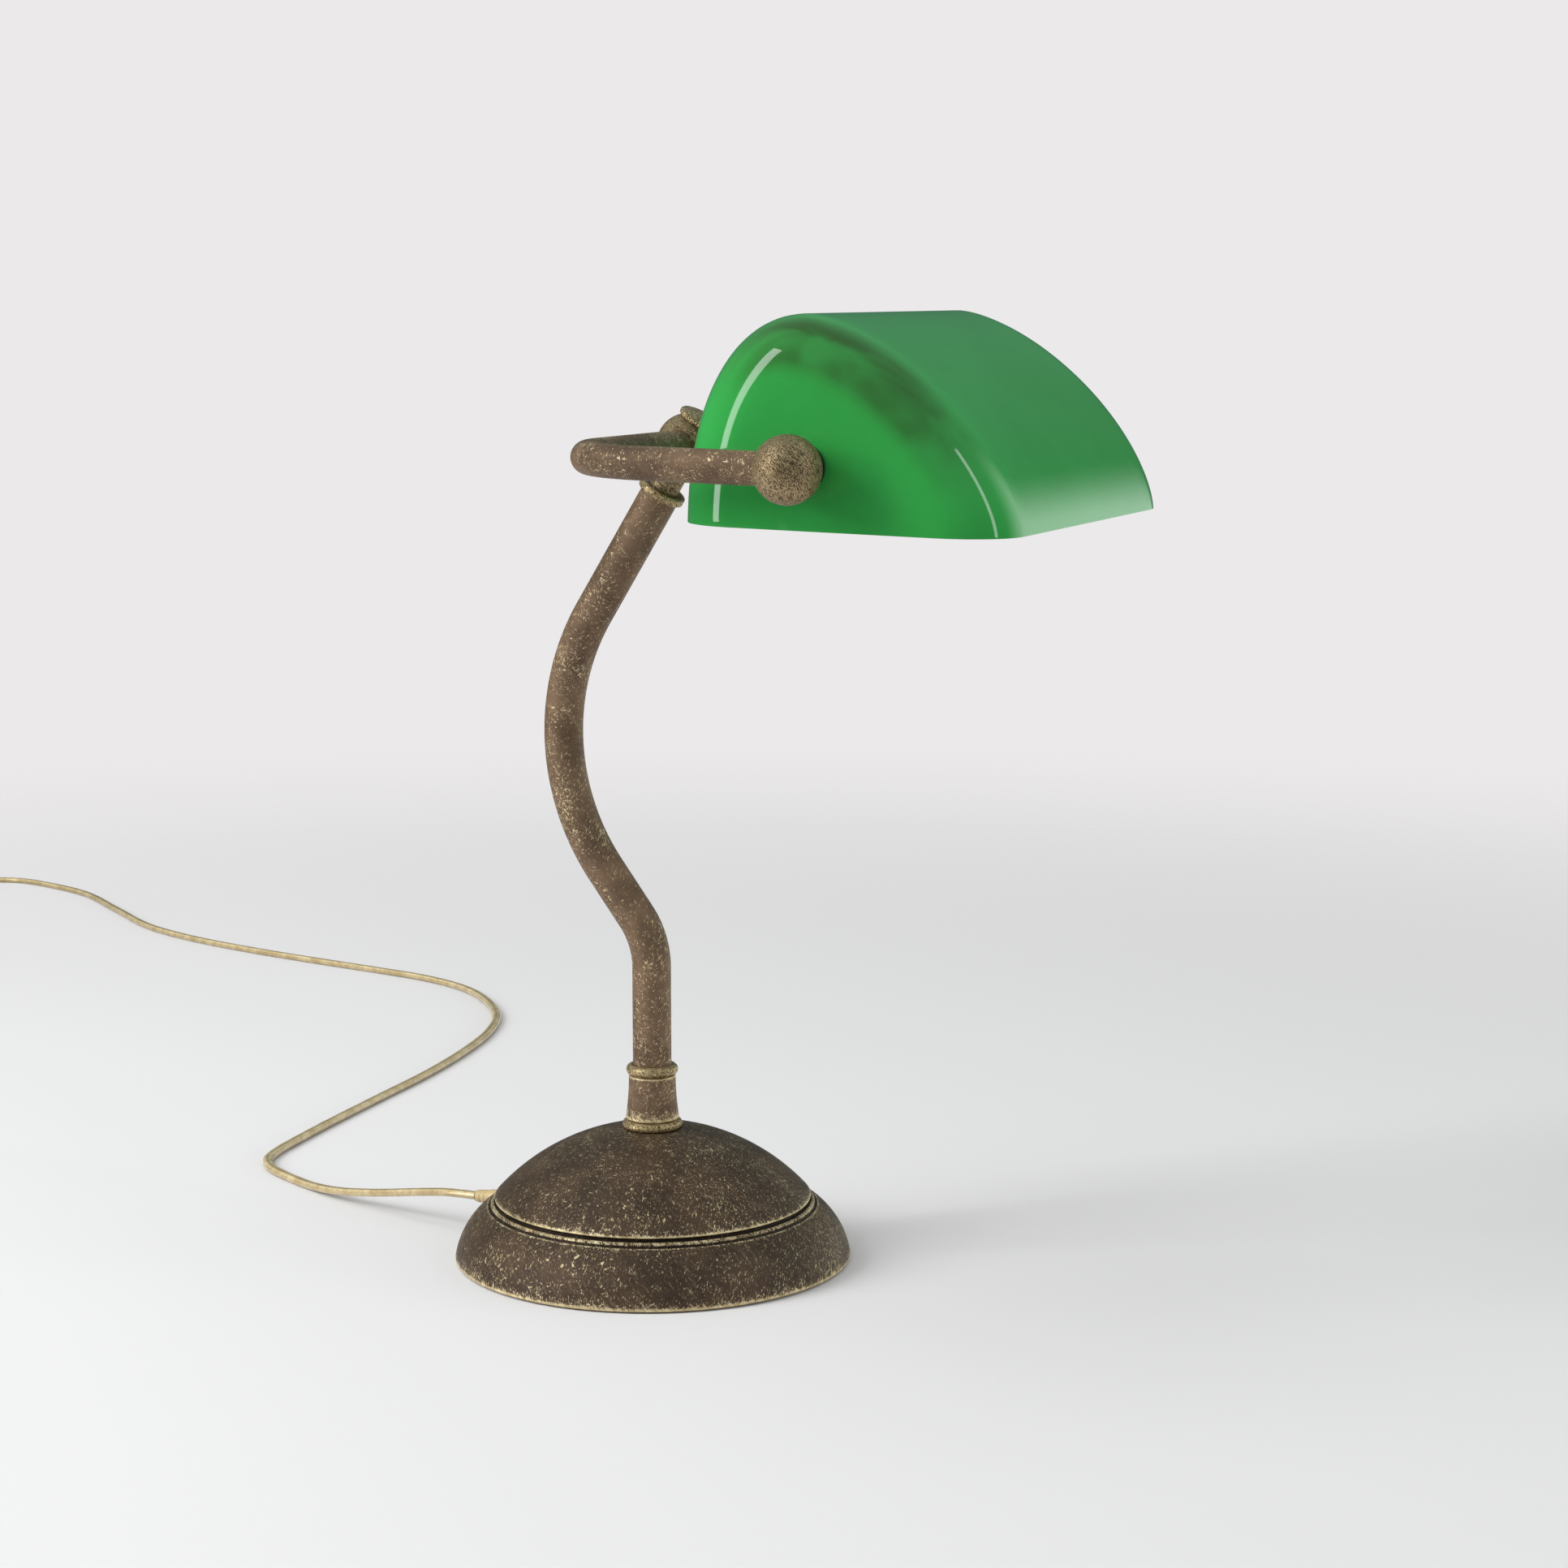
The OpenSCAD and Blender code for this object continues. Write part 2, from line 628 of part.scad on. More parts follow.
module holder_block() {
    color("#e6e0d2") at_shade() difference() {
        along_x(block_x, key_x + 2.4, block_r, block_r);
        translate([key_x, 0, 0]) rotate([90, 0, 0]) cylinder(h = holder_r + 1, r = key_r + run);
    }
}

module screw_shell() {
    color("#c2a868") at_shade() difference() {
        along_x(nut_in - holder_l + 2, block_x - gap, screw_r + 0.6, screw_r + 0.6);
        along_x(nut_in - holder_l + 1, block_x + 1, screw_r, screw_r);
    }
}

module centre_contact() {
    color("#c2a868") at_shade() along_x(block_x - 1.4, block_x - gap, 2.6, 3.4);
}

// Turn key of the rotary switch
module switch_key() {
    color("#2b2a28") at_shade() translate([key_x, 0, 0]) rotate([90, 0, 0]) {
        translate([0, 0, 6]) cylinder(h = holder_r - 2, r = key_r);
        translate([0, 0, holder_r + 1]) cylinder(h = 3, r = 4.2);
        translate([-6, -1.5, holder_r + 4 - tip]) cube([12, 3, 6]);
        for (s = [-1, 1])
            translate([s*2.6, -1.5, holder_r + 10 - 2*tip]) rotate([-90, 0, 0]) cylinder(h = 3, r = 3.4);
    }
}

module bulb_cap() {
    tip_x = block_x - 1.4 - gap;
    color("#b7b9bb") at_shade() {
        along_x(bulb_x - 1, tip_x - 5, cap_r, cap_r);
        along_x(tip_x - 5 - tip, tip_x - 1.5, cap_r, 6);
        along_x(tip_x - 1.5 - tip, tip_x, 4.4, 4.4);
    }
}

module bulb_glass() {
    r = bulb_d/2;
    t = 0.9;
    outer = concat([[cap_r - 0.4, 0], [cap_r - 0.2, 6], [r - 0.6, 13], [r, 18]],
                   arc([0, bulb_l - r], r, 0, 90, 14));
    inner = concat(arc([0, bulb_l - r], r - t, 90, 0, 14),
                   [[r - t, 18], [r - 0.6 - t, 13], [cap_r - 0.2 - t, 6], [cap_r - 0.4 - t, 0]]);
    color("#f4f1e8") at_shade() translate([bulb_x - 1 - gap, 0, 0])
        rotate([0, -90, 0]) rotate_extrude() polygon(concat(outer, inner));
}

// ---------- inner wiring ----------
module stem_flex() {
    color("#c9b27a") {
        translate([0, wall_y - relief_in, exit_z]) rotate([90, 0, 0]) cylinder(h = wall_y - relief_in, r = flex_r);
        translate([0, 0, exit_z]) sphere(r = flex_r);
        stem_bar(exit_z, -yoke_r - 2, flex_r);
    }
}

module yoke_flex() {
    side = end_ball_x - yoke_bend_r;
    color("#c9b27a") at_yoke() {
        along_x(0, side, flex_r, flex_r);
        bend([side, -yoke_bend_r], 0, 90, yoke_bend_r, flex_r);
        bar([end_ball_x, -yoke_bend_r], [end_ball_x, -yoke_reach], flex_r);
        translate([end_ball_x, -yoke_reach, 0]) sphere(r = flex_r);
        translate([0, -yoke_reach, 0]) along_x(key_x + 2.5, end_ball_x, flex_r, flex_r);
    }
}

// ---------- cord ----------
// Tapered sleeve that the cord leaves the base through
module cord_relief() {
    outline = [[0, -relief_in], [4.6, -relief_in], [4.6, -relief_in + 2], [3.6, -relief_in + 2], [3.6, 0.5],
               [3.4, 1.5], [2.7, relief_out], [0, relief_out]];
    color("#c9b27a") difference() {
        translate([0, wall_y, exit_z]) rotate([-90, 0, 0]) rotate_extrude() polygon(outline);
        translate([0, wall_y - relief_in - 1, exit_z]) rotate([-90, 0, 0]) cylinder(h = relief_in + 0.9, r = flex_r + fit);
    }
}

// Bar that holds the cord down inside the base
module cord_anchor() {
    color("#a7a9ac") difference() {
        translate([-13, anchor_y - 4, weight_z]) cube([26, 8, exit_z + flex_r + 2 - weight_z]);
        translate([0, anchor_y - 5, exit_z]) rotate([-90, 0, 0]) cylinder(h = 10, r = flex_r + fit);
        for (s = [-1, 1])
            translate([s*9, anchor_y, 0]) cylinder(h = 40, r = 1.5 + fit);
    }
}

module anchor_screws() {
    top = exit_z + flex_r + 2;
    color("#a7a9ac") for (s = [-1, 1]) translate([s*9, anchor_y, 0]) {
        translate([0, 0, weight_z - 5]) cylinder(h = top - weight_z + 5, r = 1.5);
        translate([0, 0, top]) cylinder(h = 1.8, r = 2.8);
    }
}

// Unit direction of the route at one of its points
function heading(i) =
    let (n = len(cord_route) - 1, d = cord_route[min(i + 1, n)] - cord_route[max(i - 1, 0)])
    d/norm(d);

// One ring of the cord's tube: a flat oval of eight corners
function cord_ring(i) =
    let (h = i == 0 ? [0, 1, 0] : heading(i), side = [h.y, -h.x, 0]/norm([h.x, h.y]), up = cross(side, h))
    [for (k = [0:7]) let (a = 22.5 + 45*k)
        cord_route[i] + side*cord_w/2*cos(a)/cos(22.5) + up*cord_t/2*sin(a)/cos(22.5)];

module cord_tube() {
    last = len(cord_route) - 1;
    points = [for (i = [0:last]) each cord_ring(i)];
    walls = [for (i = [0:last - 1]) for (k = [0:7]) let (j = (k + 1)%8)
        [8*i + k, 8*i + j, 8*i + 8 + j, 8*i + 8 + k]];
    ends = [[for (k = [7:-1:0]) k], [for (k = [0:7]) 8*last + k]];
    color("#c9b27a") polyhedron(points = points, faces = concat(walls, ends));
}

module cord_coil() {
    color("#c9b27a") translate([coil_c.x, coil_c.y, coil_lift]) rotate_extrude()
        polygon([[coil_r - coil_half, 0], [coil_r + coil_half, 0], [coil_r + coil_half, cord_t],
                 [coil_r + cord_w/2, coil_h], [coil_r - cord_w/2, coil_h], [coil_r - coil_half, cord_t]]);
}

// Strap that holds the coil together
module coil_tie() {
    t = 0.5;
    w = coil_half + 0.4;
    color("#1f1f1f") translate([coil_c.x, coil_c.y, 0]) rotate(tie_at) translate([coil_r, 0, 0]) difference() {
        translate([-w - t, -coil_tie_w/2, 0]) cube([2*w + 2*t, coil_tie_w, coil_lift + coil_h + 0.1 + t]);
        translate([-w, -coil_tie_w/2 - 1, coil_lift - 0.1]) cube([2*w, coil_tie_w + 2, coil_h + 0.2]);
    }
}

module at_plug() {
    translate([plug_c.x, plug_c.y, plug_h/2]) rotate(plug_turn) children();
}

// Straight end of the cord from the coil to the plug
module cord_tail() {
    color("#c9b27a") at_plug() along_x(tail_from - tail_l, 0, cord_t/2, cord_t/2);
}

// Flat two-pin plug
module plug_body() {
    color("#c9b27a") at_plug() hull() {
        for (s = [-1, 1]) {
            translate([plug_l - 5, s*(plug_w/2 - 5), 0]) sphere(r = 5, $fn = 32);
            translate([plug_l - 3, s*(plug_w/2 - 7), 0]) rotate([0, 90, 0]) cylinder(h = 3, r = plug_h/2, $fn = 32);
            translate([14, s*(plug_w/2 - 8), 0]) sphere(r = plug_h/2, $fn = 32);
        }
        rotate([0, 90, 0]) cylinder(h = 4, r = 3.4, $fn = 32);
    }
}

module plug_pins() {
    color("#c8b26a") at_plug() for (s = [-1, 1])
        translate([plug_l + tip, s*pin_gap/2, 0]) rotate([0, 90, 0]) cylinder(h = pin_l, r = pin_r);
}

base_shell();
base_weight();
bottom_plate();
felt_pad();
plate_screws();
threaded_tube();
tube_nut();
tube_washer();
lower_bead();
collar_sleeve();
upper_bead();
stem_tube();
stem_bushing();
joint_ring();
joint_ball();
clamp_shoe();
clamp_stud();
clamp_knob();
yoke_tube();
end_ball_left();
end_ball_right();
pivot_nipples();
outer_washers();
inner_washers();
inner_nuts();
glass_shade();
holder_cap();
holder_shell();
holder_block();
screw_shell();
centre_contact();
switch_key();
bulb_glass();
bulb_cap();
stem_flex();
yoke_flex();
cord_relief();
cord_anchor();
anchor_screws();
cord_tube();
cord_coil();
cord_tail();
coil_tie();
plug_body();
plug_pins();
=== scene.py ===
"""Banker desk lamp over its CAD frame. Helpers take millimetres; every mesh is made in metres."""
import math
import bpy
import bmesh
from mathutils import Matrix, Vector


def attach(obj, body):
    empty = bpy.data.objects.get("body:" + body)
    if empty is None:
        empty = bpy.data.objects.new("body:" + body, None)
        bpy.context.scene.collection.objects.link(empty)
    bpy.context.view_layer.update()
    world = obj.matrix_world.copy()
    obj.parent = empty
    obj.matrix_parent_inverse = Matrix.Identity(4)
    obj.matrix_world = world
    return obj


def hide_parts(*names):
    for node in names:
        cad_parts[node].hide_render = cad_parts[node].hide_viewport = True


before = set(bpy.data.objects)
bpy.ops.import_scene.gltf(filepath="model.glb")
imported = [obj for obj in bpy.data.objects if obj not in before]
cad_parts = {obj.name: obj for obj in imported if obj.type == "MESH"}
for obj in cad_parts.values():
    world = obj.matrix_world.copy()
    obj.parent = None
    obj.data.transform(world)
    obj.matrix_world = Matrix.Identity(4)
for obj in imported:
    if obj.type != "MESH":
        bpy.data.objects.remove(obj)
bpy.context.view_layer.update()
MM = 0.001

# ---------------------------------------------------------------- camera
CAMERA_PLACE = (-1.2988, -0.6045, 0.4238)
CAMERA_YAW = math.radians(22.649)
CAMERA_PITCH = math.radians(8.488)
CAMERA_LENS = 76.82


def make_camera():
    data = bpy.data.cameras.new("camera")
    data.lens = CAMERA_LENS
    data.sensor_width = 36
    data.clip_start, data.clip_end = 0.05, 100
    camera = bpy.data.objects.new("camera", data)
    bpy.context.scene.collection.objects.link(camera)
    gaze = Vector((math.cos(CAMERA_YAW) * math.cos(CAMERA_PITCH),
                   math.sin(CAMERA_YAW) * math.cos(CAMERA_PITCH), -math.sin(CAMERA_PITCH)))
    camera.location = CAMERA_PLACE
    camera.rotation_mode = "QUATERNION"
    camera.rotation_quaternion = gaze.to_track_quat("-Z", "Y")
    bpy.context.scene.camera = camera


make_camera()

# ---------------------------------------------------------------- sizes, as in part.scad
BASE_R = 87
SKIRT_W = 17.7
FOOT_R = BASE_R - SKIRT_W
FOOT_Z = 28.2
DOME_RISE = 30.7
DOME_R = (FOOT_R ** 2 + DOME_RISE ** 2) / (2 * DOME_RISE)
DOME_CZ = FOOT_Z + DOME_RISE - DOME_R
SKIRT_BULGE = 34
SHELL_T = 1.6
RIM_Z = 0.8
SHOULDER = (FOOT_R + 3.3, FOOT_Z - 4.4)
SKIRT_FOOT = (BASE_R, RIM_Z + 0.6)
LOWER_BEAD_R, LOWER_BEAD_H = 13.15, 4
SLEEVE_R, SLEEVE_H = 11.65, 19.6
UPPER_BEAD_R, UPPER_BEAD_H = 11.35, 4.8
SEAT_R = LOWER_BEAD_R + 0.9
SEAT_Z = DOME_CZ + math.sqrt(DOME_R ** 2 - SEAT_R ** 2)
SLEEVE_Z = SEAT_Z + LOWER_BEAD_H + 0.2
UPPER_BEAD_Z = SLEEVE_Z + SLEEVE_H + 0.1
COLLAR_TOP = UPPER_BEAD_Z + UPPER_BEAD_H
STEM_SINK = 3.4
STEM_START = COLLAR_TOP - STEM_SINK
STEM_R = 8.45
RISER_TOP = COLLAR_TOP + 43
BEND_R, LEAN_BACK = 37, math.radians(36.5)
BACK_LEN = 24.7
BOW_R, LEAN_FWD = 100, math.radians(31.7)
REACH_LEN = 86
RING_LOW = -25.2
BALL_R = 13.55
YOKE_R = 6.7
YOKE_REACH = 98.5
YOKE_BEND_R = 39
DROOP = math.radians(1.2)
END_BALL_X = 127.55
ARM_END = YOKE_REACH - 8.45
SHADE_L, SHADE_H = 225, 82.4
SHADE_FRONT, SHADE_REAR = 89.1, 49
CROWN_BACK, AXIS_H = 8.4, 24.3
SHOULDER_R, GLASS_T = 27.6, 4
FRONT_POWER, REAR_POWER = 1.53, 2.2
EXIT_Z = 17.5
CORD_W, CORD_T = 5, 3.6
RELIEF_IN, RELIEF_OUT = 14, 8
ROD_HOLE_R = 5.05
ON_AXIS = 0.01  # where a solid turned outline starts, just off its axis


def on_arc(centre, radius, angle):
    return (centre[0] + radius * math.cos(angle), centre[1] + radius * math.sin(angle))


# the stem's line as (forward, up)
BEND_C = (-BEND_R, RISER_TOP)
BEND_END = on_arc(BEND_C, BEND_R, LEAN_BACK)
BOW_START = (BEND_END[0] - BACK_LEN * math.sin(LEAN_BACK), BEND_END[1] + BACK_LEN * math.cos(LEAN_BACK))
BOW_C = on_arc(BOW_START, BOW_R, LEAN_BACK)
BOW_END = on_arc(BOW_C, BOW_R, math.pi - LEAN_FWD)
PIVOT = (BOW_END[0] + REACH_LEN * math.sin(LEAN_FWD), BOW_END[1] + REACH_LEN * math.cos(LEAN_FWD))

# places in the row frame, in millimetres
at_head = Matrix.Translation((0, -PIVOT[0], PIVOT[1])) @ Matrix.Rotation(LEAN_FWD, 4, "X")
at_yoke = Matrix.Translation((0, -PIVOT[0], PIVOT[1])) @ Matrix.Rotation(DROOP, 4, "X")
at_shade = at_yoke @ Matrix.Translation((0, -YOKE_REACH, 0))
plus_x = Matrix.Rotation(math.pi / 2, 4, "Y")
minus_x = Matrix.Rotation(-math.pi / 2, 4, "Y")
plus_y = Matrix.Rotation(-math.pi / 2, 4, "X")
upright = Matrix.Identity(4)


# ---------------------------------------------------------------- mesh helpers
WEAR_REACH = 0.9  # millimetres walked each way to judge a corner
FULL_WEAR_TURN = 0.9  # radians of turn that count as a full ridge


def finish_piece(name, mesh, body, materials, stands_for=(), smooth_angle=35):
    """Links a mesh as a piece that rides on a body, gives it its materials and hides the CAD nodes it stands
    for.
    """
    for material in materials:
        mesh.materials.append(material)
    for polygon in mesh.polygons:
        polygon.use_smooth = True
    mesh.set_sharp_from_angle(angle=math.radians(smooth_angle))
    piece = bpy.data.objects.new(name, mesh)
    bpy.context.scene.collection.objects.link(piece)
    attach(piece, body)
    if stands_for:
        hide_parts(*stands_for)
    return piece


def skin(name, rings, place=upright, values=None, loop=False):
    """A mesh through rings of points in millimetres, capped unless it loops.

    Each entry of values is a named list with a number, or a number for each point, for every ring.
    """
    mesh = bpy.data.meshes.new(name)
    count = len(rings[0])
    verts = [place @ Vector(p) * MM for ring in rings for p in ring]
    faces = []
    turns = len(rings) if loop else len(rings) - 1
    for i in range(turns):
        a, b = i * count, (i + 1) % len(rings) * count
        for k in range(count):
            j = (k + 1) % count
            faces.append((a + k, a + j, b + j, b + k))
    if not loop:
        faces.append(tuple(range(count - 1, -1, -1)))
        faces.append(tuple(range((len(rings) - 1) * count, len(rings) * count)))
    mesh.from_pydata(verts, [], faces)
    for label, numbers in (values or {}).items():
        layer = mesh.attributes.new(label, "FLOAT", "POINT")
        for i, ring_numbers in enumerate(numbers):
            for k in range(count):
                number = ring_numbers[k] if hasattr(ring_numbers, "__len__") else ring_numbers
                layer.data[i * count + k].value = number
    tidy = bmesh.new()
    tidy.from_mesh(mesh)
    bmesh.ops.remove_doubles(tidy, verts=tidy.verts, dist=1e-7)
    bmesh.ops.recalc_face_normals(tidy, faces=tidy.faces)
    tidy.to_mesh(mesh)
    tidy.free()
    return mesh


def soften(outline, radius, steps=4):
    """Rounds each clear corner of a closed outline."""
    out = []
    count = len(outline)
    for i, here in enumerate(outline):
        before, after = Vector(outline[i - 1]), Vector(outline[(i + 1) % count])
        corner = Vector(here)
        a, b = before - corner, after - corner
        if a.length < 1e-6 or b.length < 1e-6:
            continue
        turn = math.pi - a.angle(b)
        if turn < math.radians(22):
            out.append(tuple(corner))
            continue
        cut = min(radius * math.tan(turn / 2), a.length * 0.45, b.length * 0.45)
        start, end = corner + a.normalized() * cut, corner + b.normalized() * cut
        for s in range(steps + 1):
            t = s / steps
            out.append(tuple((1 - t) ** 2 * start + 2 * t * (1 - t) * corner + t * t * end))
    return out


def even(outline, longest):
    """Splits the long sides of a closed outline."""
    out = []
    for i, here in enumerate(outline):
        there = outline[(i + 1) % len(outline)]
        parts = max(1, math.ceil(math.dist(here, there) / longest))
        out += [(here[0] + (there[0] - here[0]) * s / parts, here[1] + (there[1] - here[1]) * s / parts)
                for s in range(parts)]
    return out


def rubbed(outline):
    """How far each point of a closed outline stands proud: near 1 on ridges, below 0 in grooves."""
    area = sum(p[0] * q[1] - q[0] * p[1] for p, q in zip(outline, outline[1:] + outline[:1]))
    side = 1 if area > 0 else -1
    total = len(outline)
    marks = []
    for i, here in enumerate(outline):
        ends = []
        for step in (-1, 1):
            walked, k, last = 0, i, here
            while walked < WEAR_REACH:
                k = (k + step) % total
                walked += math.dist(last, outline[k])
                last = outline[k]
            ends.append(last)
        ax, ay = here[0] - ends[0][0], here[1] - ends[0][1]
        bx, by = ends[1][0] - here[0], ends[1][1] - here[1]
        turn = math.atan2(ax * by - ay * bx, ax * bx + ay * by) * side
        marks.append(turn / FULL_WEAR_TURN)
    return marks


def lathe(name, outline, place=upright, around=144, corner=0.25, longest=2.0, wear_from=None):
    """A turned ring or disc from a closed (radius, height) outline."""
    fine = even(soften(outline, corner) if corner else outline, longest)
    fine = [(max(r, 0), z) for r, z in fine]
    marks = rubbed(fine)
    if wear_from:
        marks = [mark + wear_from(r, z) for mark, (r, z) in zip(marks, fine)]
    rings = []
    for s in range(around):
        a = 2 * math.pi * s / around
        rings.append([(r * math.cos(a), r * math.sin(a), z) for r, z in fine])
    return skin(name, rings, place=place, loop=True, values={"wear": [marks] * around})


def arc(centre, radius, start, end, steps):
    return [on_arc(centre, radius, start + (end - start) * i / steps) for i in range(steps + 1)]


def arc_centre(p, q, radius):
    p, q = Vector(p), Vector(q)
    d = q - p
    h = math.sqrt(radius ** 2 - d.length_squared / 4)
    return tuple((p + q) / 2 + h * Vector((d.y, -d.x)) / d.length)


def sweep(name, path, outline, level=False, values=None):
    """A capped tube along a path; level keeps the outline's first axis flat on the table."""
    rings = []
    side = None
    for i, here in enumerate(path):
        ahead = (Vector(path[min(i + 1, len(path) - 1)]) - Vector(path[max(i - 1, 0)])).normalized()
        if level:
            side = Vector((ahead.y, -ahead.x, 0)).normalized()
        elif side is None:
            side = ahead.orthogonal().normalized()
        else:
            side = (side - ahead * side.dot(ahead)).normalized()
        rise = side.cross(ahead)
        rings.append([tuple(Vector(here) + side * u + rise * v) for u, v in outline])
    return skin(name, rings, values=values)


def circle(radius, sides):
    return [(radius * math.cos(2 * math.pi * k / sides), radius * math.sin(2 * math.pi * k / sides))
            for k in range(sides)]


def smooth(a, b, x):
    t = min(max((x - a) / (b - a), 0), 1)
    return t * t * (3 - 2 * t)


# ---------------------------------------------------------------- material helpers
def put(tree, kind, inputs=None, **settings):
    """Adds a shader node; an input takes a number, a colour or another node's output."""
    made = tree.nodes.new("ShaderNode" + kind)
    for key, value in settings.items():
        setattr(made, key, value)
    for key, value in (inputs or {}).items():
        socket = made.inputs[key]
        if isinstance(value, bpy.types.NodeSocket):
            tree.links.new(value, socket)
        else:
            socket.default_value = value
    return made


def maths(tree, operation, a, b=0.0, clamp=False):
    return put(tree, "Math", {0: a, 1: b}, operation=operation, use_clamp=clamp).outputs[0]


def ramp(tree, value, low, high, to_low=0.0, to_high=1.0):
    return put(tree, "MapRange", {"Value": value, "From Min": low, "From Max": high, "To Min": to_low,
                                  "To Max": to_high}, interpolation_type="SMOOTHSTEP").outputs[0]


def mix(tree, factor, a, b):
    made = put(tree, "Mix", data_type="RGBA")
    for key, value in (("Factor_Float", factor), ("A_Color", a), ("B_Color", b)):
        socket = next(s for s in made.inputs if s.identifier == key)
        if isinstance(value, bpy.types.NodeSocket):
            tree.links.new(value, socket)
        else:
            socket.default_value = value
    return next(s for s in made.outputs if s.identifier == "Result_Color")


def rgb(r, g, b):
    """A colour from its usual 0 to 255 values."""
    return tuple(((c / 255 + 0.055) / 1.055) ** 2.4 if c > 10 else c / 255 / 12.92 for c in (r, g, b)) + (1.0,)


def new_group(name, inputs, outputs):
    """A node group with named inputs (name, socket kind, default) and outputs (name, socket kind)."""
    tree = bpy.data.node_groups.new(name, "ShaderNodeTree")
    for label, kind, default in inputs:
        socket = tree.interface.new_socket(name=label, in_out="INPUT", socket_type="NodeSocket" + kind)
        if default is not None:
            socket.default_value = default
    for label, kind in outputs:
        tree.interface.new_socket(name=label, in_out="OUTPUT", socket_type="NodeSocket" + kind)
    into, out = tree.nodes.new("NodeGroupInput"), tree.nodes.new("NodeGroupOutput")
    return tree, into.outputs, out.inputs


def use(tree, group, inputs):
    made = tree.nodes.new("ShaderNodeGroup")
    made.node_tree = group
    for key, value in inputs.items():
        if isinstance(value, bpy.types.NodeSocket):
            tree.links.new(value, made.inputs[key])
        else:
            made.inputs[key].default_value = value
    return made.outputs


def stretched(tree, vector, scale, turn):
    """Coordinates turned, then stretched."""
    turned = put(tree, "VectorRotate", {"Vector": vector, "Rotation": turn},
                 rotation_type="EULER_XYZ").outputs[0]
    return put(tree, "VectorMath", {0: turned, 1: scale}, operation="MULTIPLY").outputs[0]


def patina_group():
    """Slow mottling between two shades, with a fine tooth."""
    tree, i, o = new_group("Patina", [("Vector", "Vector", None), ("Dark", "Color", (0.05, 0.03, 0.02, 1)),
                                      ("Light", "Color", (0.15, 0.1, 0.07, 1)), ("Scale", "Float", 40.0)],
                           [("Color", "Color"), ("Mottle", "Float"), ("Tooth", "Float")])
    slow = put(tree, "TexNoise", {"Vector": i["Vector"], "Scale": i["Scale"], "Detail": 5.0, "Roughness": 0.62})
    tooth = put(tree, "TexNoise", {"Vector": i["Vector"], "Scale": 1400.0, "Detail": 3.0, "Roughness": 0.6})
    mottle = ramp(tree, slow.outputs[0], 0.34, 0.68)
    toned = maths(tree, "ADD", maths(tree, "MULTIPLY", mottle, 0.75),
                  maths(tree, "MULTIPLY", tooth.outputs[0], 0.3))
    tree.links.new(mix(tree, toned, i["Dark"], i["Light"]), o["Color"])
    tree.links.new(mottle, o["Mottle"])
    tree.links.new(tooth.outputs[0], o["Tooth"])
    return tree


STROKE_RUNS = (  # the stretch and the turn of each direction of stroke
    ((480, 480, 2300), (0.1, 0.9, 0.2)),
    ((2300, 1900, 480), (0.2, -0.3, 0.6)),
    ((1900, 420, 2100), (1.4, 0.2, -0.8)))


def flecks_group():
    """Short rubbed strokes in three directions, denser in some places than in others."""
    tree, i, o = new_group("Flecks", [("Vector", "Vector", None), ("Amount", "Float", 0.5),
                                      ("Wear", "Float", 0.0), ("Cluster", "Float", 38.0),
                                      ("Fine", "Float", 1.0), ("Sparse", "Float", 0.69)],
                           [("Mask", "Float")])
    where = put(tree, "TexNoise", {"Vector": i["Vector"], "Scale": i["Cluster"], "Detail": 3.0,
                                   "Roughness": 0.65})
    crowd = ramp(tree, where.outputs[0], 0.3, 0.75)
    total = None
    for number, (scale, turn) in enumerate(STROKE_RUNS):
        sized = put(tree, "VectorMath", {0: stretched(tree, i["Vector"], scale, turn), "Scale": i["Fine"]},
                    operation="SCALE").outputs[0]
        moved = put(tree, "VectorMath", {0: sized, 1: (number * 7.3, number * 3.1, number * 5.7)},
                    operation="ADD")
        stroke = put(tree, "TexNoise", {"Vector": moved.outputs[0], "Scale": 1.0, "Detail": 1.5,
                                        "Roughness": 0.55})
        level = maths(tree, "SUBTRACT", i["Sparse"], maths(tree, "MULTIPLY", crowd, i["Amount"]))
        on_edge = maths(tree, "MAXIMUM", i["Wear"], 0.0)
        level = maths(tree, "SUBTRACT", level, maths(tree, "MULTIPLY", on_edge, 0.12))
        over = maths(tree, "MULTIPLY", maths(tree, "SUBTRACT", stroke.outputs[0], level), 11.0, clamp=True)
        total = over if total is None else maths(tree, "MAXIMUM", total, over)
    tree.links.new(total, o["Mask"])
    return tree


def hatch_group():
    """Fine brushed lines running up to the right, broken by slower noise."""
    tree, i, o = new_group("Brushed hatch", [("Vector", "Vector", None), ("Scale", "Float", 1.0)],
                           [("Lines", "Float"), ("Bands", "Float")])
    lines = None
    for turn in ((0.78, 0.0, 0.0), (0.0, 0.78, 0.0)):
        sized = put(tree, "VectorMath", {0: stretched(tree, i["Vector"], (2100, 2100, 160), turn),
                                         "Scale": i["Scale"]}, operation="SCALE").outputs[0]
        line = put(tree, "TexNoise", {"Vector": sized, "Scale": 1.0, "Detail": 3.0,
                                      "Roughness": 0.65}).outputs[0]
        lines = line if lines is None else maths(tree, "MULTIPLY", maths(tree, "ADD", lines, line), 0.5)
    broad = put(tree, "TexNoise", {"Vector": stretched(tree, i["Vector"], (420, 420, 90), (0.78, 0.2, 0)),
                                   "Scale": 1.0, "Detail": 4.0, "Roughness": 0.7}).outputs[0]
    tree.links.new(ramp(tree, lines, 0.43, 0.57), o["Lines"])
    tree.links.new(ramp(tree, broad, 0.34, 0.66), o["Bands"])
    return tree


